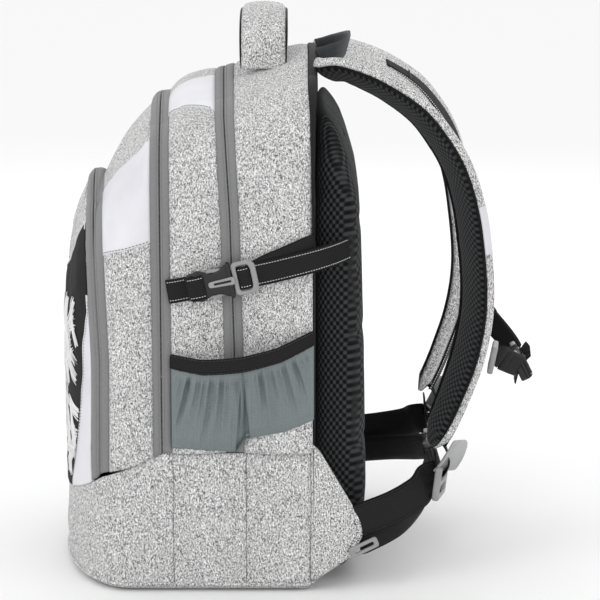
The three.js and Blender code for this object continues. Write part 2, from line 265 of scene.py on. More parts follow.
def webbing():
    m = Material("webbing", shade(0.010), 0.65, specular=0.18, sheen=0.0)
    ribs = m.wave(330, "X", uv=True)
    cross = m.wave(160, "Y", uv=True, distortion=1.0)
    both = m.math("ADD", m.math("MULTIPLY", ribs, 0.6), m.math("MULTIPLY", cross, 0.4))
    m.color(m.ramp(both, [(0.2, shade(0.004)), (0.8, shade(0.016, (1, 1, 1.05)))]))
    m.bump(both, 0.7, 0.0004)
    return m.data


def loop_web():
    m = Material("loop_web", shade(0.04), 0.6, specular=0.3, sheen=0.1)
    ribs = m.wave(330, "X", uv=True)
    m.color(m.ramp(ribs, [(0.2, shade(0.022, (0.95, 1, 1.1))), (0.8, shade(0.055, (0.95, 1, 1.1)))]))
    m.bump(ribs, 0.7, 0.0004)
    return m.data


def air_mesh(name, uv):
    """Spacer mesh: holes in staggered rows in a black knit, painted near black in the holes as painted shade;
    the knitted ridges keep the yarn's own dark colour.
    """
    m = Material(name, shade(0.02), 0.85, specular=0.15, sheen=0.08)
    if uv:
        across, along = (m.node("SeparateXYZ", {"Vector": m.place(uv=True)}).outputs[k] for k in "XY")
    else:
        split = m.node("SeparateXYZ", {"Vector": m.place()})
        across = m.math("ADD", split.outputs["X"], split.outputs["Y"])
        along = split.outputs["Z"]
    waves = []
    for way, pitch in ((across, 0.0052), (along, 0.0072)):
        waves.append(m.math("SINE", m.math("MULTIPLY", way, 2 * math.pi / pitch), 0.0))
    level = m.math("ADD", m.math("MULTIPLY", m.math("MULTIPLY", *waves), 0.5), 0.5)
    fuzz = m.math("ADD", level, m.math("MULTIPLY", m.math("SUBTRACT", m.noise(900, detail=2), 0.5), 0.35))
    # painted shade: the ramp paints the holes near black, lighter towards the knitted ridges, which carry the
    # yarn's own colour
    yarn_and_hole_shade = [(0.22, shade(0.045, (0.94, 1, 1.08))), (0.50, shade(0.018, (0.94, 1, 1.05))),
               (0.68, shade(0.001))]
    m.color(m.ramp(fuzz, yarn_and_hole_shade))
    m.bump(m.math("SUBTRACT", 1.0, fuzz), 0.8, 0.0011)
    return m.data


def silver():
    m = Material("silver", (0.68, 0.68, 0.71), 0.6, specular=0.3, metallic=0.15)
    grain = m.noise(1600, detail=2)
    broad = m.noise(14, detail=3)
    tone = m.math("ADD", m.math("MULTIPLY", grain, 0.25), m.math("MULTIPLY", broad, 0.75))
    m.color(m.ramp(tone, [(0.35, (0.60, 0.598, 0.64)), (0.65, (0.72, 0.72, 0.745))]))
    m.bump(m.noise(70, detail=3), 0.12, 0.0012)
    m.bump(grain, 0.15, 0.0001)
    return m.data


def black_cloth():
    m = Material("black_cloth", shade(0.015), 0.8, specular=0.15)
    twill = m.wave(500, "DIAGONAL", uv=True)
    m.color(m.ramp(twill, [(0.2, shade(0.009, (1.1, 1, 1.1))), (0.8, shade(0.019, (1.05, 1, 1.06)))]))
    m.bump(twill, 0.3, 0.0002)
    m.bump(m.noise(60, detail=2), 0.1, 0.001)
    return m.data


def paint():
    m = Material("paint", shade(0.8), 0.6, specular=0.3)
    bristle = m.noise(130, detail=3, uv=True, stretch=(0.12, 6.0, 1))
    m.color(m.ramp(bristle, [(0.30, shade(0.25)), (0.42, shade(0.72)), (0.7, shade(0.86))]))
    return m.data


def plastic(name, value, roughness):
    m = Material(name, shade(value), roughness, specular=0.45)
    wear = m.ramp(m.noise(60, detail=4), [(0.3, shade(value * 0.9)), (0.7, shade(value * 1.1, (1, 1, 1.02)))])
    m.color(wear)
    m.bump(m.noise(1400, detail=2), 0.12, 0.0002)
    m.roughness(m.ramp(m.noise(90), [(0.3, shade(roughness - 0.06)), (0.7, shade(roughness + 0.08))]))
    return m.data


def lining():
    m = Material("lining", shade(0.04), 0.75, specular=0.25)
    weave = m.math("MULTIPLY", m.wave(420, "X", uv=True), m.wave(420, "Y", uv=True))
    m.color(m.ramp(weave, [(0.1, shade(0.028)), (0.7, shade(0.06, (1, 1.02, 1.05)))]))
    m.bump(weave, 0.3, 0.0002)
    return m.data


def thread(name, value):
    m = Material(name, shade(value), 0.7, specular=0.3, sheen=0.1)
    twist = m.noise(2200, detail=1)
    m.color(m.ramp(twist, [(0.3, shade(value * 0.75)), (0.7, shade(min(0.9, value * 1.15)))]))
    return m.data


def metal():
    m = Material("slider_metal", shade(0.3), 0.38, metallic=0.9)
    m.color(m.ramp(m.noise(200, detail=3), [(0.3, shade(0.24)), (0.7, shade(0.36))]))
    m.bump(m.noise(900, detail=2), 0.08, 0.0001)
    return m.data


# ---- meshes --------------------------------------------------------------------------------------------
def piece(name, points, faces, material, smooth=True, uv=None, sign=1):
    """A mesh object from points in millimetres, mirrored to -X where sign is -1. uv is in metres."""
    mesh = bpy.data.meshes.new(name)
    placed_points = np.asarray(points, float) * MM * np.array([sign, 1, 1])
    mesh.from_pydata(placed_points.tolist(), [], [list(f) for f in faces])
    mesh.materials.append(MATERIALS[material])
    mesh.polygons.foreach_set("use_smooth", [smooth] * len(mesh.polygons))
    if uv is not None:
        layer = mesh.uv_layers.new(name="weave")
        corner = np.empty(len(mesh.loops), int)
        mesh.loops.foreach_get("vertex_index", corner)
        layer.data.foreach_set("uv", np.asarray(uv, float)[corner].ravel())
    made = bpy.data.objects.new(name, mesh)
    bpy.context.scene.collection.objects.link(made)
    bm = bmesh.new()
    bm.from_mesh(mesh)
    bmesh.ops.recalc_face_normals(bm, faces=bm.faces)
    bm.to_mesh(mesh)
    bm.free()
    return made


def settle(made, body, nodes=(), second=None):
    """Parents a piece to its body's empty, or, where second is given, only bakes its transform into its points;
    and hides the CAD nodes it stands for.
    """
    if second:
        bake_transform(made)
    else:
        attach(made, body)
    if nodes:
        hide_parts(*nodes)


def grid_faces(rows, columns, start=0, closed=False):
    """Faces over a grid of points. A closed grid joins its last column to its first."""
    faces = []
    for r in range(rows - 1):
        for c in range(columns if closed else columns - 1):
            a, b = (start + r * columns + k for k in (c, (c + 1) % columns))
            faces.append((a, b, b + columns, a + columns))
    return faces


def unit(vectors):
    """Vectors scaled to length one."""
    return vectors / np.linalg.norm(vectors, axis=-1, keepdims=True)


def distances(path):
    """The distance along a path at each of its points."""
    return np.concatenate([[0], np.cumsum(np.linalg.norm(np.diff(path, axis=0), axis=1))])


def resampled(path, count, endpoint=True):
    """Points spread evenly along a path, and how far along it they are."""
    reach = distances(path)
    where = np.linspace(0, reach[-1], count, endpoint=endpoint)
    return np.stack([np.interp(where, reach, column) for column in path.T], -1), where


def shell(name, outer, inner, material, uv):
    """A closed skin between two grids of points."""
    rows, columns = outer.shape[:2]
    half = rows * columns
    faces = grid_faces(rows, columns) + grid_faces(rows, columns, half)
    rim = list(range(columns - 1))
    rim += [r * columns + columns - 1 for r in range(rows - 1)]
    rim += [(rows - 1) * columns + c for c in range(columns - 1, 0, -1)]
    rim += [r * columns for r in range(rows - 1, 0, -1)]
    for i, a in enumerate(rim):
        b = rim[(i + 1) % len(rim)]
        faces.append((a, b, b + half, a + half))
    points = np.concatenate([outer.reshape(-1, 3), inner.reshape(-1, 3)])
    return piece(name, points, faces, material, uv=np.concatenate([uv.reshape(-1, 2)] * 2))


def ripple(points, size, seed, stretch=(1, 1, 1)):
    """Smooth noise from -1 to 1 at each point, with waves about `size` millimetres long."""
    source = np.random.RandomState(seed)
    total = np.zeros(points.shape[:-1])
    waves = 9
    for _ in range(waves):
        way = source.normal(size=3)
        way = way / np.linalg.norm(way) * np.array(stretch) * 2 * math.pi / size
        way *= source.uniform(0.6, 1.5)
        total += np.sin(points @ way + source.uniform(0, 2 * math.pi))
    return total / math.sqrt(waves)


# ---- the bag's outer surface ---------------------------------------------------------------------------
def smooth_crown():
    y = np.linspace(FRONT_Y, BACK_Y, 433)
    z = np.interp(y, SEWN_CROWN[:, 0], SEWN_CROWN[:, 1])
    kernel = np.hanning(9)
    padded_z = np.pad(z, 4, mode="reflect", reflect_type="odd")
    return y, np.convolve(padded_z, kernel / kernel.sum(), mode="valid")


CROWN_Y, CROWN_Z = smooth_crown()


def measures(y):
    """Half width, corner radius, level of the corners' top and flat run, at each y."""
    into = np.clip((FRONT_Y + FRONT_ROUND - y) / FRONT_ROUND, 0, 1)
    width = HALF_WIDTH * np.sqrt(np.maximum(0.004, 1 - into**2))
    radius = np.minimum(CORNER, width * 0.8)
    top = np.interp(y, CROWN_Y, CROWN_Z)
    return width, radius, top - CROWN_DROP, width - radius


def lean(y, x, z):
    """How far the seams run from straight planes: they lean with height and come forward over the top."""
    over = 1 - np.clip(np.abs(x) / HALF_WIDTH, 0, 1)
    pocket = np.interp(z, (105, 190, 245, 330), (2, 3.4, 1, -2)) - 8 * over
    middle = -5.4 * over
    main = np.interp(z, (120, 200, 320, 400), (5.5, 5, 1.5, -3)) - 4 * over
    knots = (FRONT_Y, *ZIP_Y.values(), BACK_Y)
    total = 0
    for share, move in zip(np.eye(5), (0, pocket, middle, main, 0)):
        total = total + np.interp(y, knots, share) * move
    return total


def surface(y, a):
    """The bag's skin at y and at an arc length from the top's middle, positive towards +X."""
    plain = section(y, a)
    return section(y + lean(y, plain[..., 0], plain[..., 2]), a)


def section(y, a):
    """The skin's point at y and arc length a before its seams lean."""
    _, radius, top, flat = measures(y)
    run = np.abs(a)
    turn = np.clip((run - flat) / radius, 0, math.pi / 2)
    below = np.maximum(0, run - flat - radius * math.pi / 2)
    x = np.minimum(run, flat) + radius * np.sin(turn)
    dome = CROWN_DROP * (1 - (np.minimum(run, flat) / np.maximum(flat, 1)) ** 2)
    z = top + dome - radius * (1 - np.cos(turn)) - below
    return np.stack([x * np.sign(a), y + 0 * x, z], -1)


def outward(y, a):
    """The direction out of the skin."""
    step = 0.5
    along = surface(y, a + step) - surface(y, a - step)
    back = surface(np.minimum(y + step, BACK_Y), a) - surface(np.maximum(y - step, FRONT_Y), a)
    normal = np.cross(back, along)
    normal /= np.maximum(1e-9, np.linalg.norm(normal, axis=-1, keepdims=True))
    flip = np.where((normal[..., 2:3] < -0.001) | (normal[..., 0:1] * np.sign(a)[..., None] < -0.5), -1, 1)
    return normal * flip


def arc_at(y, z):
    """Arc length from the top's middle to height z on the bag's side."""
    _, radius, top, flat = measures(y)
    corner = np.clip((top - z) / radius, 0, 1)
    turn = np.arccos(np.clip(1 - corner, -1, 1))
    return flat + radius * turn + np.maximum(0, top - radius - z)


class Panel:
    """A sewn stretch of the bag's skin between two places along Y, with its own fullness and creases."""

    crease = 0.8  # height of its creases
    tuck = 1.2  # how far its sewn edges are pulled in

    def __init__(self, y0, y1, bulge, seed):
        self.y0, self.y1, self.bulge, self.seed = y0, y1, bulge, seed

    def point(self, y, a, extra=0.0):
        base = surface(y, a)
        t = np.clip((y - self.y0) / (self.y1 - self.y0), 0, 1)
        full = np.sin(math.pi * np.clip(t, 0.001, 0.999)) ** 0.7
        edge = np.minimum(np.abs(y - self.y0), np.abs(self.y1 - y))
        lift = self.bulge * full - self.tuck * np.exp(-edge / 1.6)
        lift = lift + full * self.crease * ripple(base, 70, self.seed)
        lift = lift + full * self.crease * 0.35 * ripple(base, 24, self.seed + 1, (1, 1.4, 0.7))
        return base + outward(y, a) * (lift + extra)[..., None]

    def patch(self, name, material, bottom, top=None, extra=(0.0, -2.5), y_range=None, cells=(200, 22),
              side=0):
        """A skin over part of the panel. Side 0 is the whole arch, down to the height bottom(y). On side 1
        or -1 it lies between two places along the arch, bottom(y) and top(y)."""
        y0, y1 = y_range or (self.y0, self.y1)
        y = np.broadcast_to(y0 + (y1 - y0) * np.linspace(0, 1, cells[1]), cells)
        if side:
            a = side * (top(y) + (bottom(y) - top(y)) * np.linspace(0, 1, cells[0])[:, None])
        else:
            a = arc_at(y, bottom(y)) * np.linspace(-1, 1, cells[0])[:, None]
        a = np.where(np.abs(a) < 1e-6, 1e-6, a)
        outer, inner = (self.point(y, a, lift) for lift in extra)
        return shell(name, outer, inner, material, np.stack([a, y], -1) * MM)


def seam(y):
    """Height of the base tub's top seam."""
    return np.interp(y, TUB[:, 0], TUB[:, 1])


def stitches(name, points, out, material, pitch=2.4, length=1.5, thick=0.55, width=0.6, sign=1):
    """A row of stitches along points in millimetres; `out` holds the surface's direction at each point."""
    points = np.asarray(points, float)
    out = np.asarray(out, float)
    reach = distances(points)
    starts = np.arange(pitch * 0.5, reach[-1] - length, pitch)
    verts, faces = [], []

    def at(distance, table):
        return np.array([np.interp(distance, reach, table[:, k]) for k in range(3)])

    for start in starts:
        a, b = at(start, points), at(start + length, points)
        up = unit(at(start + length / 2, out))
        run = (b - a) / max(1e-9, np.linalg.norm(b - a))
        wide = np.cross(up, run)
        first = len(verts)
        for place, spread, rise in ((0, 0.45, 0.15), (0.25, 1, 1), (0.75, 1, 1), (1, 0.45, 0.15)):
            middle = a + (b - a) * place
            for u, v in ((-1, 0), (-0.5, 1), (0.5, 1), (1, 0), (0, -0.6)):
                verts.append(middle + wide * u * spread * width / 2 + up * v * rise * thick)
        faces += grid_faces(4, 5, first, closed=True)
        faces.append(tuple(first + i for i in range(4, -1, -1)))
        faces.append(tuple(first + 15 + i for i in range(5)))
    return piece(name, verts, faces, material, sign=sign)


def lofted(name, rings, material, uvs=None, sign=1):
    """A closed skin through rings of equal length, its two ends closed by a face."""
    rings = np.array(rings)
    count, n = rings.shape[:2]
    faces = grid_faces(count, n, closed=True)
    faces += [tuple(range(n)), tuple(range((count - 1) * n, count * n))]
    flat = None if uvs is None else np.array(uvs).reshape(-1, 2)
    return piece(name, rings.reshape(-1, 3), faces, material, uv=flat, sign=sign)


# ---- sweeps for straps and cords -----------------------------------------------------------------------
def curve_through(points, count):
    """A smooth line through points: Catmull-Rom, with `count` samples spread evenly by length."""
    points = np.asarray(points, float)
    padded_points = np.vstack([2 * points[0] - points[1], points, 2 * points[-1] - points[-2]])
    dense = []
    for i in range(len(points) - 1):
        p0, p1, p2, p3 = padded_points[i:i + 4]
        for t in np.linspace(0, 1, 24, endpoint=False):
            dense.append(0.5 * (2 * p1 + (p2 - p0) * t + (2 * p0 - 5 * p1 + 4 * p2 - p3) * t**2
                                + (3 * p1 - p0 - 3 * p2 + p3) * t**3))
    return resampled(np.array(dense + [points[-1]]), count)[0]


def frames_along(path, across):
    """Width and face directions along a path. across is the wished-for width, or gives it at a share."""
    run = unit(np.gradient(path, axis=0))
    wished = across if callable(across) else lambda t: across
    wide = np.array([wished(i / (len(path) - 1)) for i in range(len(path))], float)
    wide = unit(wide - run * np.sum(wide * run, axis=1, keepdims=True))
    return wide, np.cross(run, wide)


def strap(name, path, half, thick, across, material, lift=0.0, columns=9, shape=None, sign=1):
    """A flat woven band along a path, with rounded edges. half is its half width, or one per point."""
    wide, face = frames_along(path, across)
    half = np.broadcast_to(np.asarray(half, float), (len(path),))
    reach = distances(path)
    u = np.linspace(-1, 1, columns)
    edge = np.sqrt(np.maximum(0.0, 1 - np.abs(u) ** 8))
    profile = np.concatenate([np.stack([u, edge], -1), np.stack([u[::-1], -edge[::-1]], -1)[1:-1]])
    rings, uvs = [], []
    for i, centre in enumerate(path):
        rise = profile[:, 1] * thick / 2 + lift
        ring = centre + np.outer(profile[:, 0] * half[i], wide[i]) + np.outer(rise, face[i])
        if shape:
            ring = shape(ring, i / (len(path) - 1), profile, face[i])
        rings.append(ring)
        uvs.append(np.stack([np.full(len(profile), reach[i]), profile[:, 0] * half[i]], -1) * MM)
    return lofted(name, rings, material, uvs, sign)


# ---- moulded parts -------------------------------------------------------------------------------------
def set_down(points, at, run, out):
    """Local points (x along the strap, y across it, z outwards) set down at a place on a strap."""
    x = unit(np.array(run, float))
    z = np.array(out, float)
    z = unit(z - x * (z @ x))
    return np.array(at, float) + np.asarray(points, float) @ np.array([x, np.cross(z, x), z])


def soft_corners(outline, radius=1.5, steps=4):
    """An outline with its corners rounded."""
    made = []
    n = len(outline)
    for i in range(n):
        before, here, after = (np.array(outline[(i + k) % n], float) for k in (-1, 0, 1))
        a, b = before - here, after - here
        ra, rb = np.linalg.norm(a), np.linalg.norm(b)
        cut = min(radius, ra * 0.45, rb * 0.45)
        p0, p2 = here + a / ra * cut, here + b / rb * cut
        for t in np.linspace(0, 1, steps + 1):
            made.append((1 - t) ** 2 * p0 + 2 * t * (1 - t) * here + t**2 * p2)
    return made


def plate_mesh(outlines, thick, edge=0.7, radius=1.5):
    """Points and faces of a plate with rounded edges. The first outline is the rim, the others holes."""
    curve = bpy.data.curves.new("plate", "CURVE")
    curve.dimensions = "2D"
    curve.fill_mode = "BOTH"
    curve.extrude = thick / 2 - edge
    curve.bevel_depth = edge
    curve.bevel_resolution = 2
    curve.offset = -edge
    for outline in outlines:
        corners = soft_corners(outline, radius)
        spline = curve.splines.new("POLY")
        spline.points.add(len(corners) - 1)
        for point, corner in zip(spline.points, corners):
            point.co = (corner[0], corner[1], 0, 1)
        spline.use_cyclic_u = True
    holder = bpy.data.objects.new("plate", curve)
    bpy.context.scene.collection.objects.link(holder)
    bpy.context.view_layer.update()
    mesh = bpy.data.meshes.new_from_object(holder.evaluated_get(bpy.context.evaluated_depsgraph_get()))
    bm = bmesh.new()
    bm.from_mesh(mesh)
    bmesh.ops.remove_doubles(bm, verts=bm.verts, dist=1e-4)
    points = np.array([v.co[:] for v in bm.verts])
    faces = [tuple(v.index for v in f.verts) for f in bm.faces]
    bm.free()
    bpy.data.objects.remove(holder)
    bpy.data.curves.remove(curve)
    bpy.data.meshes.remove(mesh)
    return points, faces


def plate(name, outlines, thick, material, at, run, out, lift=0.0, edge=0.7, radius=1.5, shape=None, sign=1):
    """A moulded plate set down on a strap. shape, where given, bends its local points."""
    points, faces = plate_mesh(outlines, thick, edge, radius)
    points = points + np.array([0, 0, lift])
    if shape:
        points = shape(points)
    made = piece(name, set_down(points, at, run, out), faces, material, sign=sign)
    for polygon in made.data.polygons:
        polygon.use_smooth = len(polygon.vertices) < 5
    return made


SKEW = np.array([0.31, 0.52, 0.79])  # a direction that no rod runs along


def rod(name, path, radius, material, sides=10, sign=1):
    """A round rod along a path, thinner at its ends."""
    path = np.asarray(path, float)
    run = unit(np.gradient(path, axis=0))
    side = unit(np.cross(run, SKEW))
    up = np.cross(run, side)
    turns = np.linspace(0, 2 * math.pi, sides, endpoint=False)
    t = np.linspace(0, 1, len(path))
    size = radius * np.clip(np.sqrt(np.maximum(0, 1 - (2 * t - 1) ** 12)), 0.25, 1)
    rings = [c + np.outer(np.cos(turns), a) * r + np.outer(np.sin(turns), b) * r
             for c, a, b, r in zip(path, side, up, size)]
    return lofted(name, rings, material, sign=sign)


def mirrored(half_outline):
    """A whole outline from the points of its +Y half, in their order from the open end."""
    return [(x, -y) for x, y in half_outline] + half_outline[::-1]


def box(x0, x1, half):
    return [(x0, -half), (x1, -half), (x1, half), (x0, half)]


FOLD = ((-28.5, 1), (-27, 4.6), (-21.5, 6.6), (-15.5, 5.2), (-13.5, 1))  # webbing over the body's bar
SLIDE = ((13.6, 0.5), (15.2, 3.0), (19, 4.1), (22.8, 3.0), (24.6, 0.5))  # webbing over the frame's bar


def buckle_pair(kind, at, run, out, web, female_body, male_body, side="", sign=1):
    """A side-release buckle: a dark body with open sides, a light frame, its tongue and two prongs."""
    name = kind + side
    half = web / 2 + 4
    dark, light = "dark_buckle", "buckle"
    upper = [(-29, half - 4.5), (-18.5, half - 1), (-13, half - 3.4), (-8.5, half - 5.4), (-1.5, half - 4.2),
             (3.5, half - 1.2), (9, half)]
    outline = upper + [(x, -y) for x, y in reversed(upper)]
    slot = box(-26.5, -22.5, web / 2 - 0.4)
    body = plate(f"{name}_body", [outline, slot], 8.4, dark, at, run, out, edge=1.6, radius=2.4, sign=sign)
    settle(body, female_body, [f"{kind}_female{side}"])
    mouth = plate(f"{name}_mouth", [box(5.4, 8.8, half + 0.5)], 9.8, dark, at, run, out, edge=1.1, sign=sign)
    settle(mouth, female_body)

    frame_outline = mirrored([(9.6, half - 2), (12, half), (25, half), (29.5, half - 4)])
    window = mirrored([(13.4, web / 2 + 0.6), (23.2, web / 2 + 0.6), (24.8, web / 2 - 3)])
    male = plate(f"{name}_frame", [frame_outline, window], 4.6, light, at, run, out, lift=1.6, edge=1.3,
                 radius=2.6,
                 sign=sign)
    settle(male, male_body, [f"{kind}_male{side}"])
    tongue_outline = mirrored([(-11, 2.4), (11, 3.4)])
    tongue = plate(f"{name}_tongue", [tongue_outline, box(-6.5, 8, 0.9)], 2.0, light, at, run, out, lift=5.2,
                   edge=0.7, radius=2.2, sign=sign)
    settle(tongue, male_body)
    bar = plate(f"{name}_bar", [box(17.6, 20.4, web / 2 + 1.5)], 2.6, light, at, run, out, lift=0.4, edge=1.1,
                sign=sign)
    settle(bar, male_body)
    for s in (-1, 1):
        bends = ((11, 4.6, 0.5), (4, 4.4, 0.8), (-3, 4.0, 1.0), (-8, 3.2, 1.0), (-11.5, 4.4, 0.8))
        prong = set_down(curve_through([(x, s * (half - y), z) for x, y, z in bends], 22), at, run, out)
        made = rod(f"{name}_prong_{'a' if s < 0 else 'b'}", prong, 1.7, light, sign=sign)
        settle(made, male_body)
    web_wrap(f"{kind}_fold{side}", FOLD, at, run, out, web / 2, female_body, sign)
    web_wrap(f"{kind}_slide{side}", SLIDE, at, run, out, web / 2 - 0.4, male_body, sign)


def web_wrap(name, places, at, run, out, half, body, sign=1):
    """A short run of webbing over a bar, in the strap's local x and z, with two stitched rows."""
    path = curve_through(set_down([(x, 0, z) for x, z in places], at, run, out), 26)
    across, up = set_down([(0, 1, 0), (0, 0, 1)], (0, 0, 0), run, out)
    made = strap(name, path, half, WEB_THICK, across, "webbing", sign=sign)
    settle(made, body)
    wide, face = frames_along(path, across)
    face = face * np.sign(np.sum(face * up, axis=1, keepdims=True))
    for i, s in enumerate((-1, 1)):
        line = path + wide * s * (half - 2.4) + face * WEB_THICK / 2
        row = stitches(f"{name}_stitch_{i}", line[4:-4], face[4:-4], "white_thread", pitch=2.3, length=1.4,
                       sign=sign)
        settle(row, body)


def outer_rows(name, path, half, thick, across, toward, body, material, sign=1, inset=2.4, pitch=2.3,
               second=None,
               length=1.4):
    """Two stitch rows on the side of a band that faces `toward`."""
    wide, face = frames_along(path, across)
    face = face * np.where(np.sum(face * np.array(toward, float), axis=1, keepdims=True) < 0, -1, 1)
    for i, s in enumerate((-1, 1)):
        line = path + wide * s * (half - inset) + face * thick / 2
        row = stitches(f"{name}_{i}", line, face, material, pitch=pitch, length=length, sign=sign)
        settle(row, body, second=second)


# ---- compression straps --------------------------------------------------------------------------------
def compression_straps():
    out = (1, 0, 0)
    run = unit(np.array([0, 0.97, 0.21]))
    at = np.array([HALF_WIDTH + 8.7, 33, 268], float)
    half = SMALL_WEB / 2
    for side, sign in SIDES:
        male_body = f"compression_male_{side}"
        front = curve_through([(153.6, -12, 258.4), (155.6, -6, 259.6), (156.6, 4, 261.8), at - run * 25], 30)
        web = strap(f"compression_front_web_{side}_weave", front, half, WEB_THICK, UP, "webbing", sign=sign)
        settle(web, "main_front", [f"compression_front_web_{side}"])
        outer_rows(f"front_web_{side}_stitch", front, half, WEB_THICK, UP, out, "main_front",
                   "white_thread", sign)
        buckle_pair("compression", at, run, out, SMALL_WEB, "main_front", male_body, f"_{side}", sign)
        rear = curve_through([at + run * 24, at + run * 30 + np.array([0.8, 0, 0]), (159.6, 80, 278.4),
                              (156.6, 106, 284.5), (148, 124, 288.5), (136, 137, 291.5)], 70)
        web = strap(f"compression_rear_web_{side}_weave", rear, half, WEB_THICK, UP, "webbing", sign=sign)
        settle(web, "root", [f"compression_rear_web_{side}"], "main_front")
        outer_rows(f"rear_web_{side}_stitch", rear, half, WEB_THICK, UP, out, "root", "white_thread", sign,
                   second="main_front")
        under = curve_through([at + run * 26 + np.array([-1.4, 0, 0]), (158.0, 72, 281), (156.6, 90, 288.5),
                               (153.6, 105, 295), (150, 109.5, 297)], 40)
        tail = strap(f"compression_tail_{side}", under, half + 0.5, WEB_THICK, UP, "webbing", sign=sign)
        settle(tail, "root", second="main_front")


# ---- side pockets --------------------------------------------------------------------------------------
POCKET_FOOT = np.array([
    (-10.5, 125.3), (40, 123.2), (45, 124.5), (52, 134), (84.5, 139.9), (110, 150),
], float)
POCKET_RIM = np.array([(-10, 195.5), (17, 193.5), (52, 197.5), (80, 204), (107, 215)], float)
PLEAT_U = 0.50  # the pleat's share of the way along the pocket
POCKET_START = -9.5
POCKET_LENGTH = 118


def side_pocket_point(u, v):
    y = POCKET_START + POCKET_LENGTH * u
    foot_z = np.interp(y, POCKET_FOOT[:, 0], POCKET_FOOT[:, 1])
    rim_level = np.interp(y, POCKET_RIM[:, 0], POCKET_RIM[:, 1])
    z = foot_z + (rim_level - foot_z) * v
    swell = np.sin(math.pi * np.clip(u, 0, 1)) ** 0.8
    rise = np.sin(np.minimum(1, 0.12 + 0.9 * v) * math.pi / 2)
    bulge = 1.5 + 2.2 * np.minimum(1, v * 8) + 17 * swell * rise
    spread = PLEAT_U + (u - PLEAT_U) / (1 + 0.42 * (1 - v))
    gathers = np.zeros(np.broadcast(u, v).shape)
    source = np.random.RandomState(8)
    for count in (13, 19, 27):
        wave = np.sin(2 * math.pi * count * spread + source.uniform(0, 6) + 0.5 * np.sin(7 * v + count))
        gathers = gathers + (np.abs(wave) ** 1.5 * np.sign(wave)) * (9 / count)
    strength = 0.22 + 1.15 * np.clip((v - 0.1) / 0.9, 0, 1)
    strength = strength * (1 - 0.85 * np.clip((v - 0.84) / 0.08, 0, 1))
    edge = np.minimum(1, np.minimum(u, 1 - u) / 0.05)
    half_open = 0.5 + 5.2 * (1 - v)
    inside = np.clip((half_open - np.abs(u - PLEAT_U) * POCKET_LENGTH) / 0.8 + 0.5, 0, 1)
    inside = inside * np.clip(v / 0.02, 0, 1)
    lift = bulge + gathers * strength * edge * 2.3 - inside * (1.0 + 5.0 * (1 - v) ** 0.7)
    return np.stack([HALF_WIDTH + 0.8 + lift, y + 0 * lift, z + 0 * lift], -1)


def side_pockets():
    for side, sign in SIDES:
        u = np.linspace(0, 1, 260)[:, None] + np.zeros((1, 44))
        v = np.linspace(0, 1, 44)[None, :] + np.zeros((260, 1))
        outer = side_pocket_point(u, v)
        uv = np.stack([u * 0.125, v * 0.075], -1)
        cloth = shell(f"side_pocket_{side}_cloth", outer * [sign, 1, 1], (outer - [0.9, 0, 0]) * [sign, 1, 1],
                      "ripstop", uv)
        settle(cloth, "root", [f"side_pocket_{side}"], "main_front")
        u = np.linspace(-0.004, 1.004, 90)
        rim = side_pocket_point(np.clip(u, 0, 1), np.full(90, 0.97))
        smooth_x = HALF_WIDTH + 3.2 + 19.5 * np.sin(math.pi * np.clip(u, 0.0, 1.0)) ** 0.8
        rim[:, 0] = smooth_x
        rim[:, 2] += 6.2
        band = strap(f"pocket_binding_{side}_elastic", rim, 6.6, 3.2, UP, "webbing", sign=sign, columns=11)
        settle(band, "root", [f"pocket_binding_{side}"], "main_front")
        outer_rows(f"pocket_binding_{side}_row", rim, 6.6, 3.1, UP, (1, 0, 0), "root", "dark_thread", sign,
                   inset=1.2, pitch=3.2, second="main_front", length=2.2)


# ---- harness -------------------------------------------------------------------------------------------
PAD_PATH = np.array([
    (50, 121, 429), (58, 138, 428), (69, 167, 417), (80, 196, 398), (90, 216, 375), (96, 230, 350),
    (97, 239, 320), (97, 244, 288), (97, 247, 254), (97, 246, 224), (97, 240, 192), (97, 230, 162),
    (97, 219, 134), (97, 208, 112),
], float)
PAD_HALF = np.array([30, 32, 32, 32, 32, 32, 32, 32, 31, 30, 29, 27, 24, 20], float)
PAD_THICK = 11
PAD_ROLL = 0.27
PAD_POINTS = 150
SILVER_BAND = (0.45, 0.55)  # where the silver band lies, as shares of the pad's length


def pad_frames():
    """The shoulder pad's middle line, and its width and wearer's directions."""
    path = curve_through(PAD_PATH, PAD_POINTS)
    run = unit(np.gradient(path, axis=0))
    inward = unit(np.cross(run, np.array([1.0, 0, 0])))
    wide = np.array([math.cos(PAD_ROLL), 0, 0]) - math.sin(PAD_ROLL) * inward
    wide = unit(wide - run * np.sum(wide * run, axis=1, keepdims=True))
    return path, wide, np.cross(run, wide)


def pad_half(t):
    """Half width along the pad, rounded off at its lower end."""
    half = np.interp(t * (len(PAD_HALF) - 1), np.arange(len(PAD_HALF)), PAD_HALF)
    tip = np.clip((1 - t) / 0.055, 0, 1)
    return half * np.sqrt(np.clip(1 - (1 - tip) ** 2, 0.12, 1))


def pad_skin(name, t, profile, material, sign, cap=0.0):
    """A closed skin along the shoulder pad. profile gives its ring at t: across in half widths, out in mm."""
    path, wide, inward = pad_frames()
    where = t * (PAD_POINTS - 1)
    pick = lambda table: np.stack([np.interp(where, np.arange(PAD_POINTS), c) for c in table.T], -1)
    centre, across, face = pick(path), pick(wide), pick(inward)
    half = pad_half(t)
    rings, uvs = [], []
    reach = distances(centre)
    for i in range(len(t)):
        spread, rise = profile(t[i])
        ring = centre[i] + np.outer(spread * (half[i] + cap), across[i]) + np.outer(rise, face[i])
        rings.append(ring)
        uvs.append(np.stack([np.full(len(spread), reach[i]), spread * half[i] + rise], -1) * MM)
    return lofted(name, rings, material, uvs, sign)


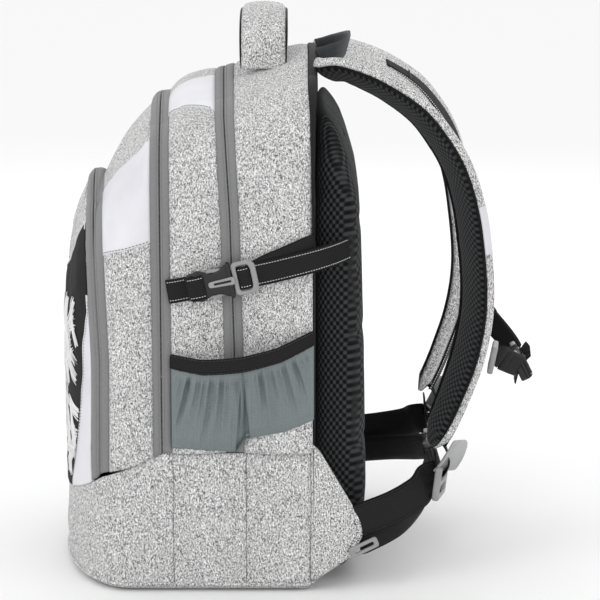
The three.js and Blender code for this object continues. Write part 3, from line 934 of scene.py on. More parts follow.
def shoulder_straps():
    """Foam pads: a mesh cushion towards the wearer under a heather cover that wraps its edges."""
    u = np.linspace(-1, 1, 33)
    back = u[::-1][1:-1]
    path, wide, inward = pad_frames()
    half = pad_half(np.linspace(0, 1, PAD_POINTS))

    def cushion(t):
        end = min(1, (1 - t) / 0.05 + 0.15)
        crown = (PAD_THICK / 2 + 2.2 * (1 - u**2)) * (1 - np.abs(u) ** 7) ** 0.6
        return np.concatenate([u, back]) * 0.965, np.concatenate([crown * end, np.full(len(back), -1.0)])

    def cover(t):
        end = min(1, (1 - t) / 0.05 + 0.2)
        crown = -(PAD_THICK / 2 + 1.4 * (1 - u**2)) * (1 - np.abs(u) ** 10) ** 0.5
        lip = [0.3 * PAD_THICK * end, 0.05 * PAD_THICK]
        spread = np.concatenate([[-1.0, -1.02], u, [1.02, 1.0], back * 0.9])
        return spread, np.concatenate([lip, crown * end, lip[::-1], np.full(len(back), 0.6 * end)])

    def raised(t):
        spread, rise = cover(t)
        return spread, np.where(rise < 0, rise - 0.35, rise)

    web_path = path - inward * (PAD_THICK / 2 + 2.3)
    keep = slice(int(0.14 * PAD_POINTS), int(0.985 * PAD_POINTS))
    across = wide[keep]
    pick = lambda t: across[min(len(across) - 1, int(round(t * (len(across) - 1))))]
    slim = np.interp(np.linspace(0, 1, len(across)), (0.0, 0.3), (0.5, 1.0)) * WEB / 2
    t = np.linspace(0, 0.995, 240)
    for side, sign in SIDES:
        pad = pad_skin(f"shoulder_pad_{side}_foam", t, cushion, "air_mesh", sign)
        settle(pad, "root", [f"shoulder_pad_{side}"], "harness")
        cloth = pad_skin(f"shoulder_cover_{side}", t, cover, "heather", sign, cap=0.6)
        settle(cloth, "root", second="harness")
        for i, s in enumerate((-1, 1)):
            line = path + wide * (s * (half + 0.5))[:, None] + inward * (0.36 * PAD_THICK)
            cord = rod(f"shoulder_piping_{side}_{i}", line[2:-6], 1.3, "webbing", sign=sign)
            settle(cord, "root", second="harness")
        band = pad_skin(f"shoulder_silver_{side}", np.linspace(*SILVER_BAND, 30), raised, "silver", sign,
                        cap=0.9)
        settle(band, "harness")
        web = strap(f"shoulder_web_{side}_weave", web_path[keep], slim, WEB_THICK, pick, "webbing", sign=sign)
        settle(web, "harness", [f"shoulder_web_{side}"])
        outer_rows(f"shoulder_web_{side}_stitch", web_path[keep], WEB / 2, WEB_THICK, pick, (0, 1, 0.2),
                   "harness",
                   "white_thread", sign, inset=2.2)
        for n, place in enumerate((0.2, 0.42, 0.66)):
            k = int(place * PAD_POINTS)
            spot = web_path[k] - inward[k] * 1.2
            line = [spot + wide[k] * x for x in np.linspace(-9.5, 9.5, 12)]
            bar = rod(f"bartack_{side}_{n}", line, 0.7, "dark_thread", sides=6, sign=sign)
            settle(bar, "harness")


def ladder_locks():
    """A block with two bars, and a curved lift tab that stands out from it."""
    at, run, out = (98, 219, 97), (0, -0.12, -1), (0.25, 1, 0)

    def tab_shape(points):
        x = points[:, 0]
        bend = np.maximum(0, 6 - x)
        lifted = points.copy()
        lifted[:, 2] += 0.85 * bend - 0.011 * bend**2
        return lifted

    for side, sign in SIDES:
        body = f"ladder_lock_{side}"
        block = plate(f"{body}_block", [box(0, 30, 17), box(5, 13, 13), box(18, 25, 12.5)], 6, "buckle",
                      at, run, out, edge=1.8, radius=3.5, sign=sign)
        settle(block, body, [body])
        tab_outline = mirrored([(-26, 7), (-21, 9), (-14, 10), (-8, 10.6), (-1, 11.4), (6, 12.4)])
        tab = plate(f"{body}_tab", [tab_outline], 3.4, "ladder_tab", at, run, (0.8, 0.6, 0), lift=2.4, edge=1.2,
                    radius=4.5, shape=tab_shape, sign=sign)
        settle(tab, body)
        loop = curve_through([(98, 213, 122), (98.5, 221, 112), (98.5, 224, 100), (98, 220, 90),
                              (98, 214.5, 88),
                              (98, 213, 95), (98, 212, 108)], 40)
        web = strap(f"{body}_loop", loop, WEB / 2, WEB_THICK, (1, 0, 0), "webbing", sign=sign)
        settle(web, "harness")


LOWER_WEB = [(146, 150, 62), (134, 176, 69), (118, 197, 77), (105, 205, 84), (100, 214, 86)]
HIP_WEB = [(142, 153, 44), (120, 180, 52), (84, 199, 62), (50, 208, 72), (26.5, 212, 78)]


def lower_webs():
    tilt = (0, -0.45, 1)
    for side, sign in SIDES:
        path = curve_through([(146.5, 138, 57), *LOWER_WEB], 60)
        for layer, lift in (("outer", 1.0), ("inner", -1.2)):
            web = strap(f"lower_web_{side}_{layer}", path, WEB / 2 + 1.5, WEB_THICK, tilt, "webbing",
                        lift=lift, sign=sign)
            settle(web, "root", [f"lower_web_{side}"] if layer == "outer" else (), "harness")
        outer_rows(f"lower_web_{side}_edge", path, WEB / 2 + 1.5, WEB_THICK + 2, tilt, (1, 0.4, 0), "root",
                   "dark_thread", sign, inset=1.6, second="harness")


def anchors():
    """Padded wings at the foot of the back that the lower straps are sewn into."""
    for side, sign in SIDES:
        outline = [(106, 128), (113, 122), (148, 62), (151, 50), (141, 30), (113, 10), (106, 8)]
        made = plate(f"strap_anchor_{side}_wing", [outline], 7, "heather", (146, 0, 0), (0, 1, 0), (1, 0, 0),
                     edge=2.6, radius=5, sign=sign)
        settle(made, "root", [f"strap_anchor_{side}"])
        line = [np.array([149.7, y, z]) for y, z in ((146, 63), (149, 51), (140, 33))]
        for n, inset in enumerate((0, 4)):
            row = stitches(
                f"wing_stitch_{side}_{n}", curve_through([p - np.array([0, inset, 0]) for p in line], 20),
                np.tile([1.0, 0, 0], (20, 1)), "dark_thread", pitch=2.6, sign=sign,
            )
            settle(row, "root")
        bar = plate(f"triglide_{side}", [box(0, 26, 4.6), box(4, 22, 1.6)], 3.4, "buckle",
                    (151.5, 139, 33), (-0.25, 1, 0.42), (1, 0.25, 0), edge=1.2, radius=2.6, sign=sign)
        settle(bar, "root")


def sternum_strap():
    across = (0, 0.5, 0.9)
    at, run, out = (1, 291, 163), (-1, 0, 0), (0, 1, 0.5)
    half = SMALL_WEB / 2
    for side, sign in SIDES:
        frame_bars = [box(-12, 12, 15.5), box(-8, -4, 12.6), box(4, 8, 12.6)]
        clip = plate(f"sternum_clip_{side}_slider", frame_bars, 5, "buckle", (97, 260.5, 190), (0, -0.2, -1),
                     (0.1, 1, -0.2), edge=1.6, radius=3, sign=sign)
        settle(clip, "sternum", [f"sternum_clip_{side}"])
        wrap = curve_through([(88, 262, 189), (84, 268, 188), (79, 271, 184.5)], 14)
        loop = strap(f"sternum_loop_{side}", wrap, half, WEB_THICK, across, "webbing", sign=sign)
        settle(loop, "sternum")
        path = curve_through([(79, 271, 184), (56, 281, 175), (38, 287, 169), (25, 290, 165)], 60)
        ribs = 0.55 * (np.sin(np.linspace(0, 36 * math.pi, 60)) > 0)

        def ribbed(ring, t, profile, face, ribs=ribs):
            return ring + np.outer(profile[:, 1] * ribs[int(t * 59)], face)

        web = strap(f"sternum_web_{side}_elastic", path, half, WEB_THICK, across, "webbing",
                    shape=ribbed if side == "R" else None, sign=sign)
        if side == "R":
            settle(web, "sternum", ["sternum_web_R"])
        else:
            settle(web, "sternum", ["sternum_web_L"], "sternum_male")
    buckle_pair("sternum", at, run, out, SMALL_WEB, "sternum", "sternum_male")
    tail = curve_through([(-20, 294, 169), (-30, 295, 163), (-36, 294, 150), (-38, 291, 137)], 30)
    end = strap("sternum_tail", tail, half, WEB_THICK, lambda t: (0.8, 0, 0.6 * (1 - t)), "webbing")
    settle(end, "sternum_male")


def hip_belt():
    across = (0, -0.3, 1)
    at, run, out = (1, 213, 80), (-1, 0, 0), (0, 1, 0.3)
    path = curve_through([(143, 146, 42), *HIP_WEB], 70)
    for side, sign in SIDES:
        web = strap(f"hip_web_{side}_weave", path, WEB / 2, WEB_THICK, across, "webbing", sign=sign)
        if side == "R":
            settle(web, "root", ["hip_web_R"])
        else:
            settle(web, "root", ["hip_web_L"], "hip_male")
    buckle_pair("hip", at, run, out, WEB, "root", "hip_male")


# ---- top loops and the back ----------------------------------------------------------------------------
def top_loops():
    along_y = (0, 1, 0)
    legs = [(58, 431), (57, 442), (54.5, 457), (47, 466), (36, 471.5), (18, 475), (0, 476)]
    line = [(-x, 66, z) for x, z in legs] + [(x, 66, z) for x, z in legs[-2::-1]]
    path = curve_through(line, 120)
    t = np.linspace(0, 1, 120)
    full = np.clip((0.5 - np.abs(t - 0.5)) / 0.16, 0, 1)

    def crowned(ring, share, profile, face):
        swell = np.interp(share, t, full) * 2.4 * (1 - profile[:, 0] ** 2)
        return ring + np.outer(np.sign(profile[:, 1]) * swell, face)

    grip = strap("grab_handle_grip", path, 18.6, 6.5, along_y, "heather", shape=crowned, columns=15)
    settle(grip, "root", ["grab_handle"], "grab_handle")
    wide, face = frames_along(path, along_y)
    inner = face * np.where(np.sum(face * (path - np.array([0, 66, 440])), axis=1, keepdims=True) > 0, -1, 1)
    lining_path = path + inner * 3.3
    liner = strap("grab_handle_lining", lining_path, 17.2, 2.4, along_y, "webbing")
    settle(liner, "root", second="grab_handle")
    for i, s in enumerate((-1, 1)):
        edge_line = path + wide * s * 18.6 + inner * 1.6
        cord = rod(f"grab_handle_piping_{i}", edge_line, 1.7, "webbing")
        settle(cord, "root", second="grab_handle")

    loop = [(35, 112, 436), (34.5, 120, 438), (31, 129, 441.5), (20, 136, 445), (0, 138, 446.5)]
    hang = curve_through([(-x, y, z) for x, y, z in loop] + loop[-2::-1], 80)
    tilt = (0, 0.25, 1)
    web = strap("hang_loop_weave", hang, 10.0, 2.2, tilt, "loop_web")
    settle(web, "root", ["hang_loop"], "hang_loop")


def back_binding():
    """Black binding along the bag's rear edge."""
    a = np.linspace(-1, 1, 260) * arc_at(np.array(BACK_Y - 1.0), np.array(300.0))
    y = np.full(260, BACK_Y - 1.0)
    plain = section(y, a)
    normal = outward(y, a)
    path = plain + normal * 0.6 + np.array([0, 0.6, 0])
    across = (0, 1, 0)
    half = np.interp(path[:, 2], (320, 360, 405, 420), (0.7, 1.5, 2.6, 4.2))
    band = strap("back_binding", path, half, 3.0, across, "webbing")
    settle(band, "root")


PAD_LEVELS = np.array([
    (2.5, 120, 136), (20, 128, 146), (77, 132, 150), (200, 132, 148), (302, 132, 145), (336, 130, 143),
    (370, 124, 134), (395, 108, 126), (412, 84, 114),
], float)


PAD_VOXEL = 0.0055  # metres
PAD_PUFF = 6.5  # the most that the cloth simulation may move the pad's skin
CLOTH_FRAMES = 20
# the quilted channels' place, width and depth: one upright pair, then three level ones
QUILT = ((46, 4.5, 3.2), (214, 4, 2.4), (120, 4, 2.4), (306, 4, 2.4))


def back_cushion():
    """The mesh back pad: a foam block filled out by a cloth simulation, then quilted."""
    near = BACK_Y + 2.5
    rings = []
    for z, half, far in PAD_LEVELS:
        corner = min(14, (far - near) * 0.7)
        half, far = half - 3, far - 3
        base = [(-half, near), (half, near), (half, far - corner)]
        base += [(half - corner + corner * math.cos(a), far - corner + corner * math.sin(a))
                 for a in np.linspace(0.25, math.pi / 2, 6)]
        base += [(-x, y) for x, y in reversed(base[3:])] + [(-half, far - corner)]
        rings.append([(x, y, z) for x, y in base])
    made = lofted("back_pad_foam", rings, "pad_mesh")
    remesh = made.modifiers.new("remesh", "REMESH")
    remesh.mode = "VOXEL"
    remesh.voxel_size = PAD_VOXEL
    cloth = made.modifiers.new("cloth", "CLOTH")
    settings = cloth.settings
    settings.use_pressure = True
    settings.uniform_pressure_force = 4
    settings.mass = 0.3
    settings.tension_stiffness = settings.compression_stiffness = settings.shear_stiffness = 15
    settings.effector_weights.gravity = 0
    cloth.point_cache.frame_start, cloth.point_cache.frame_end = 1, CLOTH_FRAMES
    rest = evaluated_points(made)
    for frame_number in range(1, CLOTH_FRAMES + 1):
        bpy.context.scene.frame_set(frame_number)
    puffed = evaluated_points(made)
    mesh = bpy.data.meshes.new_from_object(made.evaluated_get(bpy.context.evaluated_depsgraph_get()))
    bpy.context.scene.frame_set(1)
    made.modifiers.clear()
    made.data = mesh
    mesh.name = "back_pad_foam"
    move = puffed - rest
    length = np.linalg.norm(move, axis=1, keepdims=True)
    points = rest + move * np.minimum(1, PAD_PUFF / np.maximum(length, 1e-6))
    points[:, 1] = np.maximum(points[:, 1], near)
    channel = 0
    for way, (place, width, deep) in zip((np.abs(points[:, 0]), *[points[:, 2]] * 3), QUILT):
        channel = channel + deep * np.exp(-((way - place) / width) ** 2)
    facing = np.clip((points[:, 1] - (near + 18)) / 6, 0, 1)
    points[:, 1] -= channel * facing
    points[:, 2] = np.clip(points[:, 2], 1.5, 415)
    mesh.vertices.foreach_set("co", (points * MM).ravel())
    mesh.update()
    fine = made.modifiers.new("fine", "SUBSURF")
    fine.levels = fine.render_levels = 1
    smooth = bpy.data.meshes.new_from_object(made.evaluated_get(bpy.context.evaluated_depsgraph_get()))
    made.modifiers.clear()
    made.data = smooth
    smooth.polygons.foreach_set("use_smooth", [True] * len(smooth.polygons))
    settle(made, "root", ["back_pad"])


def evaluated_points(made):
    graph = bpy.context.evaluated_depsgraph_get()
    mesh = made.evaluated_get(graph).data
    flat = np.empty(len(mesh.vertices) * 3)
    mesh.vertices.foreach_get("co", flat)
    return flat.reshape(-1, 3) / MM


# ---- zip sliders and inner walls -----------------------------------------------------------------------
SLIDER_Z = {"pocket": 250, "middle": 300, "main": 352}


def zip_pulls():
    for name, z in SLIDER_Z.items():
        y = ZIP_Y[name]
        width = float(measures(np.array(y + 7.0))[0])
        at = np.array([width + 4.2, y, z])
        up, out = (0, 0, 1), (1, 0, 0)
        outline = mirrored([(-7, 3.4), (0, 4.8), (6, 5)])
        base = plate(f"{name}_slider_body", [outline], 4.4, "metal", at, up, out, edge=1.4, radius=2, sign=-1)
        settle(base, f"{name}_slider", [f"{name}_slider"])
        arch = curve_through([(-6, 0, 1.8), (-5, 0, 4.2), (0, 0, 4.8), (4.5, 0, 4.0), (5.5, 0, 1.8)], 16)
        bridge = rod(f"{name}_slider_bridge", set_down(arch, at, up, out), 1.1, "metal", sign=-1)
        settle(bridge, f"{name}_slider")
        hang = at + np.array([4, 0, -3])
        down = (-0.06, 0, -1)
        ring = plate(f"{name}_puller_tab", [box(-2, 30, 3.4), box(0.4, 3.4, 1.5)], 1.8, "buckle", hang, down,
                     out, edge=0.7, radius=2.4, sign=-1)
        settle(ring, f"{name}_puller", [f"{name}_puller"])
        for n in range(6):
            rib = [np.array([10 + 3 * n, s, 1.0]) for s in np.linspace(-2.4, 2.4, 6)]
            made = rod(f"{name}_puller_rib_{n}", set_down(rib, hang, down, out), 0.45, "buckle", sides=6,
                       sign=-1)
            settle(made, f"{name}_puller")


def wall(name, y, foot_z, inset, body, thick=1.4):
    """A lining wall across the bag behind a zip."""
    level = np.full((60, 2), float(y))
    low = arc_at(level, np.full((60, 2), foot_z))
    a = np.linspace(-1, 1, 60)[:, None] * low
    arch = surface(level, a) - outward(level, a) * inset
    centre = arch[:, :1] * [0, 1, 0] + np.array([0, 0, foot_z])
    depth = np.linspace(0, 1, 12)[None, :, None]
    outer = arch[:, :1] * (1 - depth) + centre * depth
    inner = outer + np.array([0, thick, 0])
    uv = outer[..., [0, 2]] * MM
    made = shell(name, outer, inner, "lining", uv)
    settle(made, body)


def inner_walls():
    wall("pocket_back_wall", ZIP_Y["pocket"] + 4, 100.0, 3.0, "middle_flap")
    for node, key in (("main_divider", "lining"), ("back_panel", "lining"), ("frame_sheet", "stiffener")):
        carried = bpy.data.objects[node]
        for holder in carried.material_slots:
            holder.material = MATERIALS[key]


# ---- assembly ------------------------------------------------------------------------------------------
MATERIALS = {}


def make_materials():
    MATERIALS.update(
        heather=heather(), zip_tape=zip_tape(), ripstop=ripstop(), webbing=webbing(),
        air_mesh=air_mesh("air_mesh", True), pad_mesh=air_mesh("pad_mesh", False),
        silver=silver(), black_cloth=black_cloth(), paint=paint(), buckle=plastic("buckle", 0.27, 0.42),
        dark_buckle=plastic("dark_buckle", 0.009, 0.45), lining=lining(), metal=metal(),
        stiffener=plastic("stiffener", 0.04, 0.5), white_thread=thread("white_thread", 0.72),
        grey_thread=thread("grey_thread", 0.16), dark_thread=thread("dark_thread", 0.03),
        ladder_tab=plastic("ladder_tab", 0.38, 0.4), loop_web=loop_web(),
    )


PANELS = {
    "rear": Panel(ZIP_Y["main"] + TAPE, BACK_Y - 0.5, 4.0, 3),
    "main": Panel(ZIP_Y["middle"] + TAPE, ZIP_Y["main"] - TAPE, 3.2, 7),
    "middle": Panel(ZIP_Y["pocket"] + TAPE, ZIP_Y["middle"] - TAPE, 3.0, 11),
}


def foot(y):
    """Height of the seam over the tub where a line that starts at y comes down to it."""
    level = seam(y)
    for _ in range(3):
        level = seam(y + lean(y, HALF_WIDTH, level))
    return level - LAP


def bag_panels():
    for name, node, body in (
        ("rear", "rear_gusset", "root"),
        ("main", "main_gusset", "main_front"),
        ("middle", "middle_section", "middle_flap"),
    ):
        made = PANELS[name].patch(f"{node}_skin", "heather", foot)
        settle(made, body, [node])


def silver_yokes():
    """Silver patches sewn over the shoulders of the main and middle sections, with a stitched lower edge."""
    yokes = (
        ("main", "main_front", lambda y: np.interp(y, (-11, 31), (80, 112)),
         lambda y: np.interp(y, (-11, 31), (34, 24))),
        ("middle", "middle_flap", lambda y: arc_at(y, 288 + 0.28 * (y + 65)),
         lambda y: np.interp(y, (-65, -45, -25), (62, 100, 117))),
    )
    for name, body, low, high in yokes:
        panel = PANELS[name]
        span = (panel.y0 + 0.6, panel.y1 - 0.6)
        for side, sign in SIDES:
            made = panel.patch(
                f"silver_yoke_{name}_{side}", "silver", low, high, extra=(0.7, -0.4),
                y_range=span, cells=(60, 18), side=sign,
            )
            settle(made, body)
            y = np.linspace(span[0] + 1, span[1] - 1, 40)
            a = sign * (low(y) - 1.6)
            line = stitches(
                f"yoke_stitch_{name}_{side}", panel.point(y, a, 0.75), outward(y, a), "dark_thread",
                pitch=3.0, length=2.1,
            )
            settle(line, body)


def tub_outline(count):
    """The bag's plan: a rounded front, straight sides and back with small corners."""
    corner = 9
    points = []
    for turn in np.linspace(0, math.pi, 90):
        points.append((HALF_WIDTH * math.cos(turn), FRONT_Y + FRONT_ROUND - FRONT_ROUND * math.sin(turn)))
    for start, cx in ((math.pi, -1), (math.pi / 2, 1)):
        for turn in np.linspace(start, start - math.pi / 2, 8):
            points.append((cx * (HALF_WIDTH - corner) + corner * math.cos(turn),
                           BACK_Y - corner + corner * math.sin(turn)))
    points.append(points[0])
    xy, where = resampled(np.array(points), count, endpoint=False)
    run = unit(np.roll(xy, -1, axis=0) - np.roll(xy, 1, axis=0))
    out = np.stack([-run[:, 1], run[:, 0]], -1)
    out *= np.sign(np.sum(out * xy, axis=1, keepdims=True))
    return xy, out, where


PIPING_Z = 6.0
PIPING_RADIUS = 1.5


def base_tub():
    xy, out, where = tub_outline(300)
    top = seam(xy[:, 1])
    rings, uvs = [], []

    def ring(level, lift, height=None):
        z = level * top if height is None else np.full(len(xy), float(height))
        base = np.concatenate([xy, z[:, None]], 1)
        full = math.sin(math.pi * min(1, max(0, level)) ** 0.7) if height is None else 0
        puff = lift + full * (1.2 + 0.7 * ripple(base, 80, 21) + 0.3 * ripple(base, 26, 22))
        rings.append(np.concatenate([xy + out * puff[:, None], z[:, None]], 1))
        uvs.append(np.stack([where, z], -1) * MM)

    for height, inset in ((0.6, -26), (0.2, -12), (0.2, -8), (0.8, -4.5), (2.2, -2.2)):
        ring(0, inset, height)
    for level in (0.045, 0.07, 0.1, 0.15, 0.22, 0.3, 0.4, 0.5, 0.6, 0.7, 0.8, 0.88, 0.93, 0.96, 0.98):
        ring(level, 0.0)
    ring(0.992, -0.7)
    ring(0.996, -2.5)
    ring(0.96, -3.4)
    for level in (0.8, 0.5, 0.2, 0.08):
        ring(level, -3.4)
    ring(0, -8, 4)
    ring(0, -26, 3.6)
    made = lofted("base_tub_skin", rings, "heather", uvs)
    settle(made, "root", ["base_tub"])

    around = np.concatenate([xy + out * 0.9, np.full((len(xy), 1), PIPING_Z)], 1)
    turns = np.linspace(0, 2 * math.pi, 8, endpoint=False)
    cord = np.array([[centre + np.array([*way * math.cos(t), math.sin(t)]) * PIPING_RADIUS
                      for t in turns] for centre, way in zip(around, out)]).reshape(-1, 3)
    faces = [tuple(i % len(cord) for i in face) for face in grid_faces(len(xy) + 1, len(turns), closed=True)]
    piping = piece("base_piping", cord, faces, "heather")
    settle(piping, "root")
    for side, sign in SIDES:
        for n, y in enumerate((-9, 52)):
            z = np.linspace(7, seam(y) - 1, 30)
            base = np.stack([np.full(30, float(HALF_WIDTH)), np.full(30, float(y)), z], -1)
            swell = 1.9 * np.sin(math.pi * (z / seam(y)) ** 0.7)
            line = base + np.stack([swell + 0.1, 0 * z, 0 * z], -1)
            row = stitches(f"base_seam_{side}_{n}", line, np.tile([1.0, 0, 0], (30, 1)), "grey_thread",
                           pitch=2.6, length=2.2, thick=0.5, width=0.7, sign=sign)
            settle(row, "root")


ZIP_STITCH = 2.3  # how far the stitched row lies from the zip's middle


def zips():
    bodies = {"main": ("main_front", "root"), "middle": ("middle_flap", "main_front"),
              "pocket": ("pocket_flap", "middle_flap")}
    for name, middle in ZIP_Y.items():
        for half, sign in (("front", -1), ("rear", 1)):
            body = bodies[name][0 if sign < 0 else 1]
            count = (240, 12)
            across = np.array([0.25, 0.7, 1.3, 1.9, 2.3, 2.7, 3.6, 4.8, 5.9, 6.7, 7.3, 8.2])
            rise = np.array([-0.9, 0.35, 0.75, 0.75, 0.5, 0.75, 0.9, 0.9, 0.75, 0.45, 0.0, -1.2])
            y = np.broadcast_to(middle + sign * across, count)
            a = np.linspace(-1, 1, count[0])[:, None] * arc_at(y, foot(y) + 0.6)
            outer = surface(y, a) + outward(y, a) * (rise + 0.3)[None, :, None]
            inner = surface(y, a) - outward(y, a) * 2.0
            uv = np.stack([a * MM, y * MM], -1)
            made = shell(f"{name}_zip_{half}_tape", outer, inner, "zip_tape", uv)
            settle(made, body, [f"{name}_zip_{half}"])
            line_y = middle + sign * np.array([ZIP_STITCH])
            a_line = np.linspace(-1, 1, 400) * arc_at(line_y, foot(line_y) + 3)
            y_line = np.full(400, line_y[0])
            row = stitches(
                f"{name}_zip_{half}_stitch", surface(y_line, a_line) + outward(y_line, a_line) * 0.85,
                outward(y_line, a_line), "grey_thread", pitch=2.0, length=1.3, thick=0.3, width=0.45,
            )
            settle(row, body)


# ---- the front pocket ----------------------------------------------------------------------------------
POCKET_Y = ZIP_Y["pocket"] - TAPE
BLACK_EDGE = np.array([  # the black panel's half width at each height
    (60, 74), (77, 81), (121, 104.5), (149, 111.5), (183, 116.5), (210, 119), (249, 131), (256, 160),
], float)


def roof(y, x):
    """Height of the bag's skin over x in the section at y."""
    width, radius, top, flat = measures(y)
    run = np.abs(x)
    dome = CROWN_DROP * (1 - (np.minimum(run, flat) / flat) ** 2)
    over = np.clip((run - flat) / radius, 0, 1)
    height = top + dome - radius * (1 - np.sqrt(np.maximum(0, 1 - over**2)))
    return np.where(run > width, -1e3, height)


def rim_y(x, z):
    return POCKET_Y + lean(np.full(np.broadcast(x, z).shape, float(POCKET_Y)), x, z)


def rim_z(x):
    z = np.full(np.shape(x), 300.0)
    for _ in range(3):
        y = rim_y(x, z)
        z = roof(y, np.minimum(np.abs(x), measures(y)[0] * 0.998))
    return z


def front_y(x, z):
    """Y of the front pocket's skin at x and z, found by halving."""
    low = np.full(np.broadcast(x, z).shape, FRONT_Y + 0.001)
    high = rim_y(x, z) + 3
    for _ in range(24):
        middle = (low + high) / 2
        inside = roof(middle, x) >= z
        high = np.where(inside, middle, high)
        low = np.where(inside, low, middle)
    return high


def front_point(x, z, lift=0.0):
    """A point on the front pocket, lifted off it, and the way out there."""
    y = front_y(x, z)
    step = 1.5
    way = np.where(x < 0, -1.0, 1.0)
    near = (np.abs(x) - step) * way
    far = np.minimum(np.abs(x) + step, np.maximum(full_half(z) - 0.1, np.abs(x) - 0.5)) * way
    dx = (front_y(far, z) - front_y(near, z)) / (far - near)
    dz = (front_y(x, z + step) - front_y(x, z - step)) / (2 * step)
    dx, dz = np.clip(dx, -1.4, 1.4), np.clip(dz, -2.2, 2.2)
    normal = np.stack([dx, -np.ones_like(dx), dz], -1)
    normal /= np.linalg.norm(normal, axis=-1, keepdims=True)
    point = np.stack([x + 0 * y, y, z + 0 * y], -1)
    lift = np.asarray(lift, float) + 0.6 * ripple(point, 60, 31) + 0.25 * ripple(point, 22, 32)
    return point + normal * lift[..., None], normal


def front_foot(x):
    plan_y = FRONT_Y + FRONT_ROUND - FRONT_ROUND * np.sqrt(np.maximum(0, 1 - (x / HALF_WIDTH) ** 2))
    return seam(plan_y) - FRONT_LAP


def bib_edge(x):
    """Lower edge of the heather bib over the black panel."""
    return 253 + 70 * (np.abs(x) / 106) ** 2.6


def full_half(z):
    return measures(rim_y(np.full(np.shape(z), 140.0), z))[0] - 0.3


def front_patch(name, material, left, right, low, high, lifts, cells=(90, 90)):
    """A skin on the front pocket between two edges given as functions of z and two as functions of x."""
    q = np.linspace(0, 1, cells[0])[:, None] + np.zeros((1, cells[1]))
    p = np.linspace(0, 1, cells[1])[None, :] + np.zeros((cells[0], 1))
    z = 80 + 240 * q
    for _ in range(6):
        x = left(z) + (right(z) - left(z)) * p
        z = low(x) + q * (high(x) - low(x))
    uv = np.stack([x * MM, z * MM], -1)
    outer = front_point(x, z, lifts[0])[0]
    inner = front_point(x, z, lifts[1])[0]
    return shell(name, outer, inner, material, uv)


def front_line(name, x, z, lift, radius, material):
    """A thin cord along the front pocket."""
    path, normal = front_point(x, z, lift)
    side = np.cross(normal, unit(np.gradient(path, axis=0)))
    turns = np.linspace(0, 2 * math.pi, 7, endpoint=False)
    rings = [c + np.outer(np.cos(turns), s) * radius + np.outer(np.sin(turns), n) * radius
             for c, s, n in zip(path, side, normal)]
    return lofted(name, rings, material)


def front_pocket():
    wide = full_half
    top = lambda x: rim_z(x) - 0.6
    cover = front_patch(
        "pocket_cover_skin", "heather", lambda z: -wide(z), wide, front_foot, top, (0.0, -2.6)
    )
    settle(cover, "pocket_flap", ["pocket_cover"])

    edge = lambda z: np.minimum(np.interp(z, BLACK_EDGE[:, 0], BLACK_EDGE[:, 1]), wide(z) - 0.8)
    panel_top = lambda x: np.minimum(top(x) - 1.0, bib_edge(x))
    panel_foot = lambda x: front_foot(x) + 0.6
    black = front_patch(
        "black_panel", "black_cloth", lambda z: -edge(z), edge, panel_foot, panel_top, (0.9, -0.3),
        cells=(120, 90),
    )
    settle(black, "pocket_flap")
    x = np.linspace(-102, 102, 160)
    piping = front_line("bib_piping", x, panel_top(x), 1.1, 0.55, "white_thread")
    settle(piping, "pocket_flap")

    for side, sign in SIDES:
        inner = lambda z: sign * (edge(z) - 1.2)
        outer = lambda z: sign * (wide(z) - 0.4)
        strip = front_patch(
            f"silver_strip_{side}", "silver", inner, outer, panel_foot,
            lambda x: np.full(np.shape(x), 250.0), (1.3, -0.3), cells=(110, 16),
        )
        settle(strip, "pocket_flap")
        z = np.linspace(72, 246, 90)
        line_x = sign * (edge(z) + 0.8)
        path, normal = front_point(line_x, z, 1.5)
        row = stitches(f"strip_stitch_{side}", path, normal, "grey_thread", pitch=3.0, length=2.0,
                       thick=0.3, width=0.45)
        settle(row, "pocket_flap")
    strokes(edge)


STROKES = 84


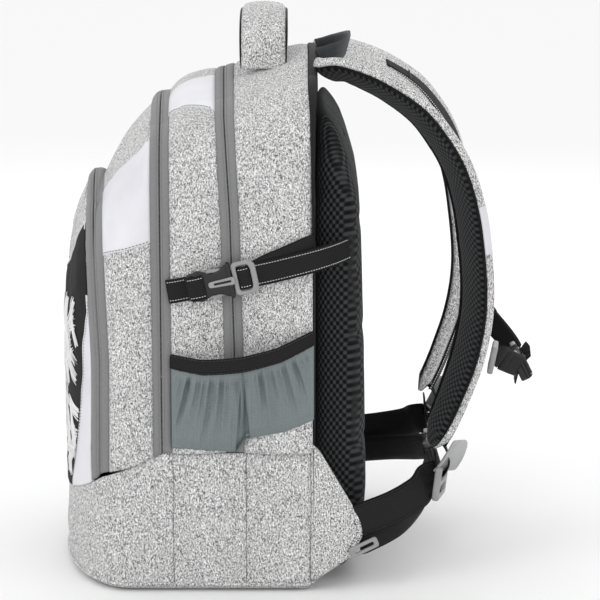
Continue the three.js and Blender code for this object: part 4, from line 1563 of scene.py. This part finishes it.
def strokes(edge):
    """Loose brush strokes over the black panel, each a few bristle lines wide."""
    source = np.random.RandomState(41)
    verts, faces, uvs = [], [], []
    for stroke in range(STROKES):
        centre = np.array([source.uniform(-1, 1), source.uniform(92, 246)])
        centre[0] = np.sign(centre[0]) * 108 * np.abs(centre[0]) ** 0.7
        lean_angle = source.uniform(-1.25, 1.25) + math.pi / 2
        if stroke % 5 == 0:
            lean_angle = source.uniform(-0.35, 0.35)
        way = np.array([math.cos(lean_angle), math.sin(lean_angle)])
        length = source.uniform(34, 92)
        bow = source.uniform(-7, 7)
        for bristle in range(source.randint(3, 6)):
            shift = (bristle - 2) * 2.5 + source.uniform(-0.6, 0.6)
            t = np.linspace(source.uniform(-0.5, -0.4), source.uniform(0.38, 0.5), 26)
            line = centre + np.outer(t * length, way) + np.outer(shift + bow * (4 * t**2 - 0.5),
                                                                 [-way[1], way[0]])
            half = (0.5 + 0.45 * source.rand()) * np.clip((0.5 - np.abs(t)) * 9, 0.12, 1)
            keep = (np.abs(line[:, 0]) < edge(line[:, 1]) - 2) & (line[:, 1] < 264) & (line[:, 1] > 80)
            spans = np.split(np.arange(len(t)), np.where(np.diff(keep.astype(int)) != 0)[0] + 1)
            for span in spans:
                if not keep[span[0]] or len(span) < 9:
                    continue
                run = unit(np.gradient(line[span], axis=0))
                side = np.stack([-run[:, 1], run[:, 0]], -1) * half[span][:, None]
                first = len(verts)
                lift = 1.25 + 0.012 * stroke
                rows = [(line[span] + side, lift - 0.5), (line[span] + side * 0.9, lift),
                        (line[span] - side * 0.9, lift), (line[span] - side, lift - 0.5)]
                for spot, rise in rows:
                    verts.extend(front_point(spot[:, 0], spot[:, 1], rise)[0])
                    uvs.extend(np.stack([t[span] * length * MM, np.full(len(span), shift * MM)], -1))
                n = len(span)
                for r in range(4):
                    for c in range(n - 1):
                        a, b = first + r * n + c, first + ((r + 1) % 4) * n + c
                        faces.append((a, a + 1, b + 1, b))
                faces.append(tuple(first + r * n for r in range(4)))
                faces.append(tuple(first + r * n + n - 1 for r in range(4)))
    made = piece("brush_strokes", verts, faces, "paint", uv=np.array(uvs))
    settle(made, "pocket_flap")


def assemble():
    set_stage()
    make_materials()
    bag_panels()
    silver_yokes()
    base_tub()
    zips()
    front_pocket()
    side_pockets()
    compression_straps()
    back_cushion()
    back_binding()
    shoulder_straps()
    ladder_locks()
    lower_webs()
    anchors()
    sternum_strap()
    hip_belt()
    top_loops()
    zip_pulls()
    inner_walls()


assemble()
